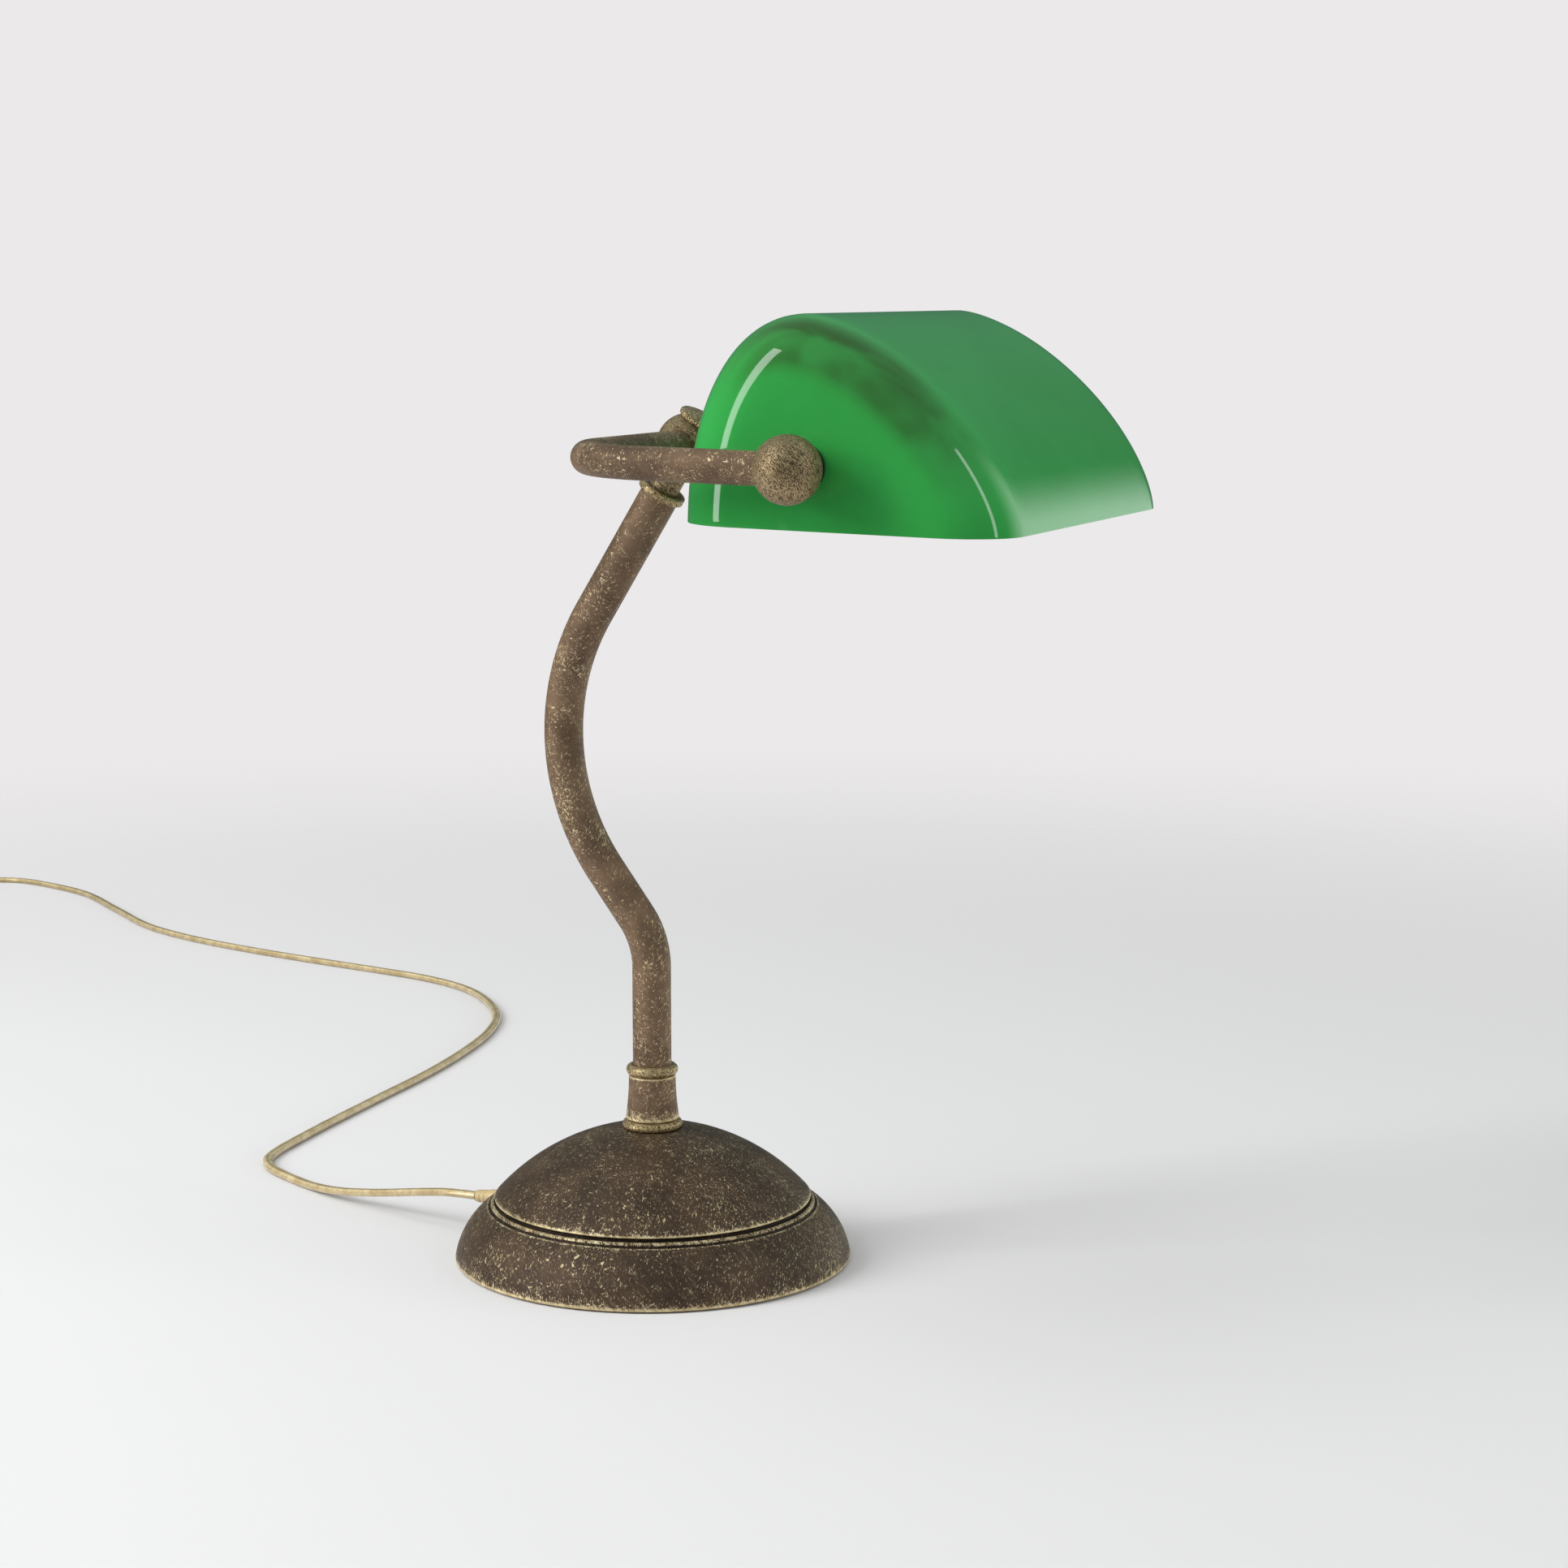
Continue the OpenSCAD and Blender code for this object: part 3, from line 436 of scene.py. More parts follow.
def speckle_group():
    """Even pores and specks, for castings, felt, glaze and moulded plastic."""
    tree, i, o = new_group("Specks", [("Vector", "Vector", None), ("Size", "Float", 0.6),
                                      ("Depth", "Float", 0.5)], [("Mask", "Float"), ("Height", "Float")])
    scale = maths(tree, "DIVIDE", 1000.0, i["Size"])
    cells = put(tree, "TexVoronoi", {"Vector": i["Vector"], "Scale": scale}, feature="F1")
    cloud = put(tree, "TexNoise", {"Vector": i["Vector"], "Scale": scale, "Detail": 4.0, "Roughness": 0.6})
    pores = ramp(tree, cells.outputs["Distance"], 0.05, 0.5)
    tree.links.new(maths(tree, "MULTIPLY", pores, cloud.outputs[0]), o["Mask"])
    rise = maths(tree, "ADD", pores, cloud.outputs[0])
    tree.links.new(maths(tree, "MULTIPLY", rise, i["Depth"]), o["Height"])
    return tree


patina = patina_group()
flecks = flecks_group()
hatch = hatch_group()
specks = speckle_group()


def new_material(name, **shader):
    """A material with one Principled shader; plain values are set on the shader itself."""
    material = bpy.data.materials.new(name)
    material.use_nodes = True
    tree = material.node_tree
    surface = tree.nodes["Principled BSDF"]
    for key, value in shader.items():
        surface.inputs[key.replace("_", " ")].default_value = value
    place = put(tree, "TexCoord").outputs["Object"]
    return material, tree, surface.inputs, place


def bump(tree, height, strength, distance):
    return put(tree, "Bump", {"Height": height, "Strength": strength, "Distance": distance}).outputs[0]


def wear_value(tree):
    return put(tree, "Attribute", attribute_name="wear").outputs["Fac"]


PAINT_METALLIC, BARE_METALLIC = 0.45, 0.7


def antique_bronze(name, dark, light, amount, rub=1.0, cluster=38.0):
    """Dark bronze paint over brass: flecks and edges rubbed through to brushed brass."""
    material, tree, shader, place = new_material(name)
    wear = maths(tree, "MULTIPLY", wear_value(tree), rub)
    tone = use(tree, patina, {"Vector": place, "Dark": dark, "Light": light, "Scale": 46.0})
    brushed = use(tree, hatch, {"Vector": place, "Scale": 1.0})
    strokes = use(tree, flecks, {"Vector": place, "Amount": amount, "Wear": wear, "Cluster": cluster,
                                "Fine": 0.85})
    broken = maths(tree, "ADD", maths(tree, "MULTIPLY", brushed["Lines"], 0.45),
                   maths(tree, "MULTIPLY", brushed["Bands"], 0.55))
    ragged = maths(tree, "MULTIPLY", maths(tree, "SUBTRACT", broken, 0.5), 1.8)
    worn = ramp(tree, maths(tree, "ADD", wear, ragged), 0.55, 1.6)
    bare = maths(tree, "MAXIMUM", strokes["Mask"], worn)
    bare = maths(tree, "MULTIPLY", bare, 0.85)
    gold = mix(tree, brushed["Bands"], rgb(196, 172, 126), rgb(246, 228, 184))
    grime = ramp(tree, wear, -1.0, -0.2, 0.35, 1.0)
    haze = mix(tree, maths(tree, "MULTIPLY", brushed["Lines"], 0.14), tone["Color"], rgb(132, 112, 86))
    coloured = mix(tree, bare, haze, gold)
    tree.links.new(mix(tree, grime, rgb(20, 14, 10), coloured), shader["Base Color"])
    rough = maths(tree, "ADD", maths(tree, "MULTIPLY", tone["Tooth"], 0.16), 0.48)
    tree.links.new(maths(tree, "SUBTRACT", rough, maths(tree, "MULTIPLY", bare, 0.14)), shader["Roughness"])
    tree.links.new(maths(tree, "ADD", maths(tree, "MULTIPLY", bare, BARE_METALLIC - PAINT_METALLIC),
                         PAINT_METALLIC), shader["Metallic"])
    height = maths(tree, "ADD", maths(tree, "MULTIPLY", tone["Tooth"], 0.4),
                   maths(tree, "SUBTRACT", maths(tree, "MULTIPLY", brushed["Lines"], 0.3),
                         maths(tree, "MULTIPLY", bare, 0.7)))
    tree.links.new(bump(tree, height, 0.35, 0.0002), shader["Normal"])
    return material


def brushed_brass(name, dark, light, rough, scale):
    """Antique brass with diagonal brushing and dark left in its lines and grooves."""
    material, tree, shader, place = new_material(name, Metallic=0.7)
    wear = maths(tree, "MULTIPLY", wear_value(tree), 0.6)
    brushed = use(tree, hatch, {"Vector": place, "Scale": scale})
    tooth = use(tree, patina, {"Vector": place})["Tooth"]
    strokes = use(tree, flecks, {"Vector": place, "Amount": 0.1, "Wear": 0.0, "Cluster": 90.0,
                                "Fine": 1.5})
    lit = maths(tree, "ADD", maths(tree, "MULTIPLY", brushed["Lines"], 0.8),
                maths(tree, "MULTIPLY", brushed["Bands"], 0.2))
    lit = maths(tree, "ADD", lit, maths(tree, "MULTIPLY", wear, 0.12), clamp=True)
    streaked = mix(tree, ramp(tree, lit, 0.2, 0.95), dark, light)
    gilt = mix(tree, maths(tree, "MULTIPLY", strokes["Mask"], 0.4), streaked, rgb(206, 188, 144))
    grime = ramp(tree, wear, -0.8, -0.05, 0.2, 1.0)
    tree.links.new(mix(tree, grime, rgb(22, 16, 10), gilt), shader["Base Color"])
    tree.links.new(maths(tree, "SUBTRACT", rough + 0.1, maths(tree, "MULTIPLY", lit, 0.16)),
                   shader["Roughness"])
    height = maths(tree, "ADD", brushed["Lines"], maths(tree, "MULTIPLY", tooth, 0.4))
    tree.links.new(bump(tree, height, 0.22, 0.00015), shader["Normal"])
    return material


def plain_metal(name, colour, rough, dull=0.6):
    """Turned or plated metal with fine brushing and a little staining."""
    material, tree, shader, place = new_material(name, Metallic=1.0)
    brushed = use(tree, hatch, {"Vector": place, "Scale": 1.6})
    dark = tuple(c * dull for c in colour[:3]) + (1.0,)
    tone = use(tree, patina, {"Vector": place, "Dark": dark, "Light": colour, "Scale": 90.0})
    tree.links.new(mix(tree, maths(tree, "MULTIPLY", brushed["Lines"], 0.3), tone["Color"], colour),
                   shader["Base Color"])
    tree.links.new(maths(tree, "ADD", maths(tree, "MULTIPLY", tone["Mottle"], 0.15), rough),
                   shader["Roughness"])
    tree.links.new(bump(tree, brushed["Lines"], 0.15, 0.0001), shader["Normal"])
    return material


def moulded(name, colour, rough, size, depth=0.15, shade=0.75, **shader_values):
    """Moulded plastic, rubber, glaze or a casting: fine specks in colour and surface, and an uneven gloss."""
    material, tree, shader, place = new_material(name, **shader_values)
    grain = use(tree, specks, {"Vector": place, "Size": size, "Depth": depth})
    dark = tuple(c * shade for c in colour[:3]) + (1.0,)
    tone = use(tree, patina, {"Vector": place, "Dark": dark, "Light": colour, "Scale": 60.0})
    tree.links.new(mix(tree, maths(tree, "MULTIPLY", grain["Mask"], 0.3), tone["Color"], dark),
                   shader["Base Color"])
    tree.links.new(maths(tree, "ADD", maths(tree, "MULTIPLY", tone["Mottle"], 0.08), rough),
                   shader["Roughness"])
    tree.links.new(bump(tree, grain["Height"], 0.3, 0.0002), shader["Normal"])
    return material


def cased_glass():
    """Green glass over white: glossy, with a painted dark reflection, streaked olive, over its shoulders."""
    material, tree, shader, place = new_material("green cased glass", Metallic=0.0, Transmission_Weight=0.0,
                                                 IOR=1.5)
    tone = use(tree, patina, {"Vector": place, "Dark": rgb(40, 134, 54), "Light": rgb(48, 150, 68),
                              "Scale": 5.0})
    # painted dark reflection: the thick value marks the shoulders, the drawn streaks break it up, and it is
    # mixed towards dark olive
    thick = put(tree, "Attribute", attribute_name="thick").outputs["Fac"]
    drawn = put(tree, "TexNoise", {"Vector": stretched(tree, place, (90, 10, 34), (0.9, 0, 0)), "Scale": 1.0,
                                   "Detail": 2.0, "Roughness": 0.45, "Distortion": 0.4}).outputs[0]
    depth = maths(tree, "MULTIPLY", thick, ramp(tree, drawn, 0.3, 0.65, 0.5, 1.0))
    tree.links.new(mix(tree, depth, tone["Color"], rgb(34, 76, 20)), shader["Base Color"])
    wave = put(tree, "TexNoise", {"Vector": place, "Scale": 16.0, "Detail": 1.0, "Roughness": 0.3}).outputs[0]
    tree.links.new(ramp(tree, wave, 0.3, 0.7, 0.04, 0.07), shader["Roughness"])
    return material


def opal_lining(name, colour):
    """The white inner layer of the glass, or a bulb's opal glass."""
    material, tree, shader, place = new_material(name, Metallic=0.0, Transmission_Weight=0.0, IOR=1.5,
                                                 Coat_Weight=0.3)
    tone = use(tree, patina, {"Vector": place, "Dark": tuple(c * 0.93 for c in colour[:3]) + (1.0,),
                              "Light": colour, "Scale": 14.0})
    tree.links.new(tone["Color"], shader["Base Color"])
    tree.links.new(maths(tree, "ADD", maths(tree, "MULTIPLY", tone["Mottle"], 0.06), 0.12),
                   shader["Roughness"])
    tree.links.new(bump(tree, tone["Mottle"], 0.05, 0.0005), shader["Normal"])
    return material


def flex_material(name, pale, deep, line):
    """Glossy clear-gold flex: twisted strands glint under the skin, and painted shade darkens the groove and
    both sides.
    """
    material, tree, shader, place = new_material(name, Metallic=0.25, IOR=1.5, Coat_Weight=0.8,
                                                 Coat_Roughness=0.06)
    across = put(tree, "Attribute", attribute_name="across").outputs["Fac"]
    along = put(tree, "Attribute", attribute_name="along").outputs["Fac"]
    twist = maths(tree, "SINE", maths(tree, "ADD", maths(tree, "MULTIPLY", along, 2.1),
                                      maths(tree, "MULTIPLY", across, 7.0)))
    tone = use(tree, patina, {"Vector": place, "Dark": deep, "Light": pale, "Scale": 150.0})
    strands = mix(tree, ramp(tree, twist, -1.0, 1.0, 0.0, 0.12), tone["Color"], pale)
    # painted shade: the line colour is laid into the groove between the cores and along both sides
    groove_and_side_shade = put(tree, "Attribute", attribute_name="groove_and_side_shade").outputs["Fac"]
    tree.links.new(mix(tree, groove_and_side_shade, strands, line), shader["Base Color"])
    tree.links.new(ramp(tree, tone["Tooth"], 0.2, 0.8, 0.24, 0.36), shader["Roughness"])
    tree.links.new(bump(tree, twist, 0.03, 0.0001), shader["Normal"])
    return material


def felt():
    material, tree, shader, place = new_material("green felt", Roughness=0.95, Sheen_Weight=0.5)
    grain = use(tree, specks, {"Vector": place, "Size": 0.5, "Depth": 1.0})
    tone = use(tree, patina, {"Vector": place, "Dark": rgb(22, 48, 30), "Light": rgb(46, 84, 56),
                              "Scale": 200.0})
    tree.links.new(mix(tree, grain["Mask"], tone["Color"], rgb(60, 100, 70)), shader["Base Color"])
    tree.links.new(bump(tree, grain["Height"], 0.8, 0.0006), shader["Normal"])
    return material


BROWN_DARK, BROWN_LIGHT = rgb(44, 30, 21), rgb(76, 56, 42)
bronze = antique_bronze("antique bronze", BROWN_DARK, BROWN_LIGHT, 0.07, rub=0.85)
tube_bronze = antique_bronze("antique bronze tube", rgb(78, 59, 44), rgb(126, 100, 78), 0.1, cluster=60.0)
brass = brushed_brass("worn brass", rgb(76, 57, 38), rgb(216, 190, 142), scale=1.4, rough=0.4)
ball_brass = brushed_brass("worn brass balls", rgb(72, 55, 38), rgb(188, 164, 124), scale=1.5, rough=0.48)
bare_brass = plain_metal("turned brass", rgb(212, 184, 116), 0.26)
iron = moulded("rough iron", rgb(58, 58, 60), 0.7, size=2.0, depth=0.8, Metallic=0.6)
zinc = plain_metal("zinc plate", rgb(176, 178, 180), 0.32)
cap_metal = plain_metal("cap metal", rgb(198, 199, 202), 0.24, dull=0.8)
rubber = moulded("black rubber", rgb(28, 28, 28), 0.62, size=0.5)
bakelite = moulded("bakelite", rgb(34, 28, 24), 0.2, size=1.2, depth=0.05)
porcelain = moulded("porcelain", rgb(226, 221, 208), 0.18, size=3.0, depth=0.05, shade=0.92)
glass = cased_glass()
lining = opal_lining("white lining", rgb(236, 238, 230))
opal = opal_lining("opal glass", rgb(244, 242, 236))
# the last colour is the painted shade for the cord's groove and sides
gold_flex = flex_material("gold flex", rgb(222, 204, 160), rgb(176, 150, 100), rgb(104, 82, 46))
gold_plastic = moulded("gold plastic", rgb(196, 172, 122), 0.26, size=1.0, depth=0.05, Coat_Weight=0.5)

# ---------------------------------------------------------------- the cord, from the base to its plug
skirt_c = arc_centre(SHOULDER, SKIRT_FOOT, SKIRT_BULGE)
WALL_Y = skirt_c[0] + math.sqrt(SKIRT_BULGE ** 2 - (EXIT_Z - skirt_c[1]) ** 2)
RELIEF_END = WALL_Y + RELIEF_OUT
LAY_Z = CORD_T / 2
cord_route = [
    (0, RELIEF_END, EXIT_Z), (2, 103, 16.8), (6, 116, 14.6), (11, 132, 11.4), (17, 150, 7.8),
    (24, 171, 4.4), (31, 187, 2.6), (38, 200, LAY_Z), (47, 216, LAY_Z), (57, 230, LAY_Z),
    (69, 239, LAY_Z), (84, 243, LAY_Z), (102, 245, LAY_Z), (140, 248, LAY_Z), (196, 251, LAY_Z),
    (256, 254, LAY_Z), (308, 260, LAY_Z), (358, 270, LAY_Z), (398, 285, LAY_Z), (433, 309, LAY_Z),
    (461, 339, LAY_Z), (479, 375, LAY_Z), (490, 418, LAY_Z), (502, 473, LAY_Z), (517, 532, LAY_Z),
    (534, 582, LAY_Z), (556, 626, LAY_Z), (600, 682, LAY_Z), (642, 736, LAY_Z), (662, 782, LAY_Z),
    (668, 808, LAY_Z), (661, 832, 2.1), (650, 860, 2.4)]
COIL_C = (620, 848)
COIL_R = 29.5
COIL_FLOOR_Z, COIL_TOP_Z = 2.4, 5.8
OUTER_TURN_R, INNER_STEP, TOP_STEP = 32.3, 5.1, 2.5
LEAVE = math.radians(110)
TAIL_L = 40
PLUG_TURN = LEAVE + math.pi / 2
PLUG_H = 14
leave_point = Vector((COIL_C[0] + COIL_R * math.cos(LEAVE), COIL_C[1] + COIL_R * math.sin(LEAVE), COIL_TOP_Z))
plug_heading = Vector((math.cos(PLUG_TURN), math.sin(PLUG_TURN), 0))
plug_rear = leave_point + plug_heading * TAIL_L
plug_rear.z = PLUG_H / 2
at_plug = Matrix.Translation(plug_rear) @ Matrix.Rotation(PLUG_TURN, 4, "Z")


def through(points, spacing):
    """A smooth curve through points, with chord-length spacing at its knots, resampled evenly."""
    pts = [Vector(p) for p in points]
    pts = [2 * pts[0] - pts[1]] + pts + [2 * pts[-1] - pts[-2]]
    line = []
    for k in range(1, len(pts) - 2):
        p = pts[k - 1:k + 3]
        t = [0]
        for a, b in zip(p, p[1:]):
            t.append(t[-1] + max((b - a).length, 1e-6) ** 0.5)
        steps = max(2, round((p[2] - p[1]).length / spacing))
        for s in range(steps):
            x = t[1] + (t[2] - t[1]) * s / steps
            a = [p[i] * ((t[i + 1] - x) / (t[i + 1] - t[i])) + p[i + 1] * ((x - t[i]) / (t[i + 1] - t[i]))
                 for i in range(3)]
            b = [a[i] * ((t[i + 2] - x) / (t[i + 2] - t[i])) + a[i + 1] * ((x - t[i]) / (t[i + 2] - t[i]))
                 for i in range(2)]
            line.append(b[0] * ((t[2] - x) / (t[2] - t[1])) + b[1] * ((x - t[1]) / (t[2] - t[1])))
    line.append(pts[-2])
    return line


def coil_points():
    """Two turns side by side on the table, then one on top of them that leaves for the plug."""
    start = math.atan2(cord_route[-1][1] - COIL_C[1], cord_route[-1][0] - COIL_C[0])
    total = LEAVE - start + 6 * math.pi
    points = []
    steps = round(total / math.radians(8))
    for s in range(1, steps + 1):
        angle = start + total * s / steps
        t = (angle - start) / (2 * math.pi)
        radius = (OUTER_TURN_R - 0.2 * min(t, 1) - INNER_STEP * smooth(0.74, 0.99, t)
                  + TOP_STEP * smooth(1.8, 2.05, t))
        lift = COIL_FLOOR_Z + (COIL_TOP_Z - COIL_FLOOR_Z) * smooth(1.62, 1.8, t)
        points.append((COIL_C[0] + radius * math.cos(angle), COIL_C[1] + radius * math.sin(angle), lift))
    return points


tail = [tuple(plug_rear.lerp(leave_point, f)) for f in (0.75, 0.5, 0.25, 0)]
cord_line = through(cord_route + coil_points() + tail, spacing=3.5)


def flex_outline(width, thick, sides=28):
    """Two rounded cores side by side with a groove between them above and below, and how much painted shade
    falls at each point.
    """
    out, groove_and_side_shade, across = [], [], []
    for k in range(sides):
        a = 2 * math.pi * (k + 0.5) / sides
        u = width / 2 * math.copysign(abs(math.cos(a)) ** 0.9, math.cos(a))
        dip = math.exp(-(u / (width * 0.11)) ** 2)
        v = thick / 2 * math.copysign(abs(math.sin(a)) ** 0.85, math.sin(a)) * (1 - 0.24 * dip)
        out.append((u, v))
        # painted shade: strongest in the groove, weaker along both sides
        groove_and_side_shade.append(0.75 * dip + 0.35 * smooth(0.42 * width, 0.5 * width, abs(u)))
        across.append(u / width * 2)
    return out, groove_and_side_shade, across


def make_cord():
    outline, groove_and_side_shade, across = flex_outline(CORD_W, CORD_T)
    run, along = 0, []
    for i, p in enumerate(cord_line):
        run += (p - cord_line[i - 1]).length if i else 0
        along.append(run)
    # the painted shade for the groove and sides goes along as a point value
    marks = {"groove_and_side_shade": [groove_and_side_shade] * len(cord_line), "across": [across] * len(cord_line), "along": along}
    mesh = sweep("mains_cord", cord_line, outline, level=True, values=marks)
    return finish_piece("mains_cord", mesh, "stand", [gold_flex],
                        ("cord_tube", "cord_coil", "cord_tail"), 60)


def make_relief():
    """Tapered sleeve with shallow ribs."""
    ribs = []
    for i in range(25):
        t = i / 24
        wave = 0.1 * math.sin(2 * math.pi * 3 * t) if 0.1 < t < 0.95 else 0
        ribs.append((3.4 - 0.8 * t + wave, 0.5 + 7.4 * t))
    flange = 2 - RELIEF_IN
    outline = ([(ON_AXIS, -RELIEF_IN), (4.6, -RELIEF_IN), (4.6, flange), (3.6, flange), (3.6, 0.3)] + ribs
               + [(2.3, RELIEF_OUT), (ON_AXIS, RELIEF_OUT)])
    at_wall = Matrix.Translation((0, WALL_Y, EXIT_Z)) @ plus_y
    mesh = lathe("cord_sleeve", outline, at_wall, around=48, corner=0.3)
    return finish_piece("cord_sleeve", mesh, "stand", [gold_plastic], ("cord_relief",))


def make_plug():
    """Flat plug with a ribbed neck; each station is a distance along, a half width and a half height."""
    stations = [(0, 3.3, 3.3), (0.6, 3.9, 3.9), (3, 4.0, 4.0), (3.6, 3.5, 3.5), (4.8, 3.7, 3.7),
                (5.4, 4.4, 4.3), (7.4, 4.8, 4.6), (8.2, 4.3, 4.1), (9.4, 4.7, 4.4), (10.2, 6.0, 5.0),
                (13, 8.2, 5.9), (17, 10.6, 6.5), (21, 12.0, 6.8), (26, 12.6, 6.9), (31, 13.0, 6.95),
                (34.4, 13.2, 6.95), (35.5, 12.9, 6.7), (36, 12.2, 6.1)]
    rings = []
    for x, half, high in stations:
        power = 2 + 1.4 * smooth(8, 26, x)
        ring = []
        for k in range(40):
            a = 2 * math.pi * k / 40
            c, s = math.cos(a), math.sin(a)
            ring.append((x, half * math.copysign(abs(c) ** (2 / power), c),
                         high * math.copysign(abs(s) ** (2 / power), s)))
        rings.append(ring)
    mesh = skin("plug", rings, place=at_plug)
    return finish_piece("plug", mesh, "stand", [gold_plastic], ("plug_body",), 50)


def make_tie():
    """Strap round the coil, narrower over its top turn."""
    turn = math.radians(250)
    place = (Matrix.Translation((COIL_C[0], COIL_C[1], 0)) @ Matrix.Rotation(turn, 4, "Z")
             @ Matrix.Translation((COIL_R, 0, 0)))
    inner = [(-5.35, 1.4), (-5.35, 0.55), (-4.9, 0.45), (4.9, 0.45), (5.35, 0.55), (5.35, 3.9), (3.2, 7.7),
             (-3.2, 7.7), (-5.35, 3.9)]
    wide = [(u * 1.085, 0.02 if v < 0.6 else v * 1.07) for u, v in inner]
    inner, wide = soften(inner, 0.6, 3), soften(wide, 0.6, 3)
    rings = [[(u, y, v) for u, v in wide] for y in (-3.5, -3.2, 3.2, 3.5)]
    hole = [[(u, y, v) for u, v in inner] for y in (3.5, -3.5)]
    mesh = skin("cord_tie", rings + hole, place=place, loop=True)
    return finish_piece("cord_tie", mesh, "stand", [bakelite], ("coil_tie",))


cord = make_cord()
relief = make_relief()
plug = make_plug()
tie = make_tie()


# ---------------------------------------------------------------- base and collar
def base_outline():
    bead_c, bead_r = (FOOT_R + 0.9, FOOT_Z - 3.5), 1.1
    angle = [math.atan2(p[1] - skirt_c[1], p[0] - skirt_c[0]) for p in (SHOULDER, SKIRT_FOOT)]
    inner_foot = FOOT_R - 1.4 - SHELL_T
    inner_r = DOME_R - SHELL_T
    top = math.pi / 2
    return ([(ROD_HOLE_R, SEAT_Z)]
            + arc((0, DOME_CZ), DOME_R, top - math.asin(SEAT_R / DOME_R), top - math.asin(FOOT_R / DOME_R), 56)
            + [(FOOT_R + 0.25, FOOT_Z - 0.35), (FOOT_R + 0.15, FOOT_Z - 0.8), (FOOT_R - 0.8, FOOT_Z - 1.3),
               (FOOT_R - 1.4, FOOT_Z - 2), (FOOT_R - 1.3, FOOT_Z - 2.6)]
            + arc(bead_c, bead_r, math.radians(150), math.radians(-40), 12)
            + [(FOOT_R + 2.2, FOOT_Z - 4.85), (FOOT_R + 2.7, FOOT_Z - 4.85)]
            + arc(skirt_c, SKIRT_BULGE, angle[0], angle[1], 24)
            + [(BASE_R - 0.3, RIM_Z), (BASE_R - SHELL_T, RIM_Z)]
            + arc(skirt_c, SKIRT_BULGE - SHELL_T, angle[1], angle[0] - math.radians(6), 12)
            + [(FOOT_R - 0.8, FOOT_Z - 6.4), (inner_foot, FOOT_Z - 3.6)]
            + arc((0, DOME_CZ), inner_r, top - math.asin(inner_foot / inner_r),
                  top - math.asin(SEAT_R / inner_r), 20)
            + [(SEAT_R - 0.6, SEAT_Z - SHELL_T), (ROD_HOLE_R, SEAT_Z - SHELL_T)])


def base_wear(r, z):
    """Handling wear near the rim and at the dome's foot."""
    rim = 0.55 * smooth(6.0, 1.5, z) * (r > BASE_R - 4)
    foot = 0.25 * smooth(2.4, 0.0, abs(z - FOOT_Z)) * (r < FOOT_R + 0.5)
    return rim + foot


def bead_outline(r, h):
    return ([(ROD_HOLE_R, 0), (r - h / 2, 0)] + arc((r - h / 2, h / 2), h / 2, -math.pi / 2, math.pi / 2, 20)
            + [(ROD_HOLE_R, h)])


def up(z):
    return Matrix.Translation((0, 0, z))


base_mesh = lathe("spun_base", base_outline(), around=256, corner=0.12, longest=1.6, wear_from=base_wear)
finish_piece("spun_base", base_mesh, "stand", [bronze], ("base_shell",))
bead_mesh = lathe("collar_lower_bead", bead_outline(LOWER_BEAD_R, LOWER_BEAD_H), up(SEAT_Z), longest=0.6)
finish_piece("collar_lower_bead", bead_mesh, "stand", [brass], ("lower_bead",))
SLEEVE_TOP_R = UPPER_BEAD_R - 1.1
sleeve_side = [(SLEEVE_TOP_R + (SLEEVE_R - SLEEVE_TOP_R) * (1 - t / 14) ** 1.9, 0.7 + (SLEEVE_H - 1) * t / 14)
               for t in range(15)]
sleeve_outline = ([(ROD_HOLE_R, 0), (SLEEVE_R - 0.6, 0)] + sleeve_side
                  + [(SLEEVE_TOP_R - 0.3, SLEEVE_H), (ROD_HOLE_R, SLEEVE_H)])
finish_piece("collar_flare", lathe("collar_flare", sleeve_outline, up(SLEEVE_Z), longest=0.8,
                                   wear_from=lambda r, z: 0.62 * smooth(6.5, 1.5, z) * (r > 8)),
             "stand", [tube_bronze], ("collar_sleeve",))
cup = STEM_R + 0.05
upper_round = (UPPER_BEAD_R - UPPER_BEAD_H / 2, UPPER_BEAD_H / 2)
upper_outline = ([(ROD_HOLE_R, 0), (upper_round[0], 0)]
                 + arc(upper_round, UPPER_BEAD_H / 2, -math.pi / 2, math.pi / 3, 18)
                 + [(cup + 0.5, UPPER_BEAD_H), (cup, UPPER_BEAD_H - 0.5), (cup, STEM_START - UPPER_BEAD_Z),
                    (ROD_HOLE_R, STEM_START - UPPER_BEAD_Z)])
finish_piece("collar_upper_bead", lathe("collar_upper_bead", upper_outline, up(UPPER_BEAD_Z), longest=0.6),
             "stand", [brass], ("upper_bead",))


# ---------------------------------------------------------------- stem and yoke
STEM_STEP = 3.4


def stem_path():
    line = [(0, STEM_START + STEM_STEP * i) for i in range(14) if STEM_START + STEM_STEP * i < RISER_TOP - 1]
    line += arc(BEND_C, BEND_R, 0, LEAN_BACK, 14)
    line += [(BEND_END[0] + (BOW_START[0] - BEND_END[0]) * t / 6,
              BEND_END[1] + (BOW_START[1] - BEND_END[1]) * t / 6) for t in range(1, 6)]
    line += arc(BOW_C, BOW_R, math.pi + LEAN_BACK, math.pi - LEAN_FWD, 40)
    far = REACH_LEN + RING_LOW + 0.2
    line += [(BOW_END[0] + far * t / 16 * math.sin(LEAN_FWD), BOW_END[1] + far * t / 16 * math.cos(LEAN_FWD))
             for t in range(1, 17)]
    return [(0, -forward, up_z) for forward, up_z in line]


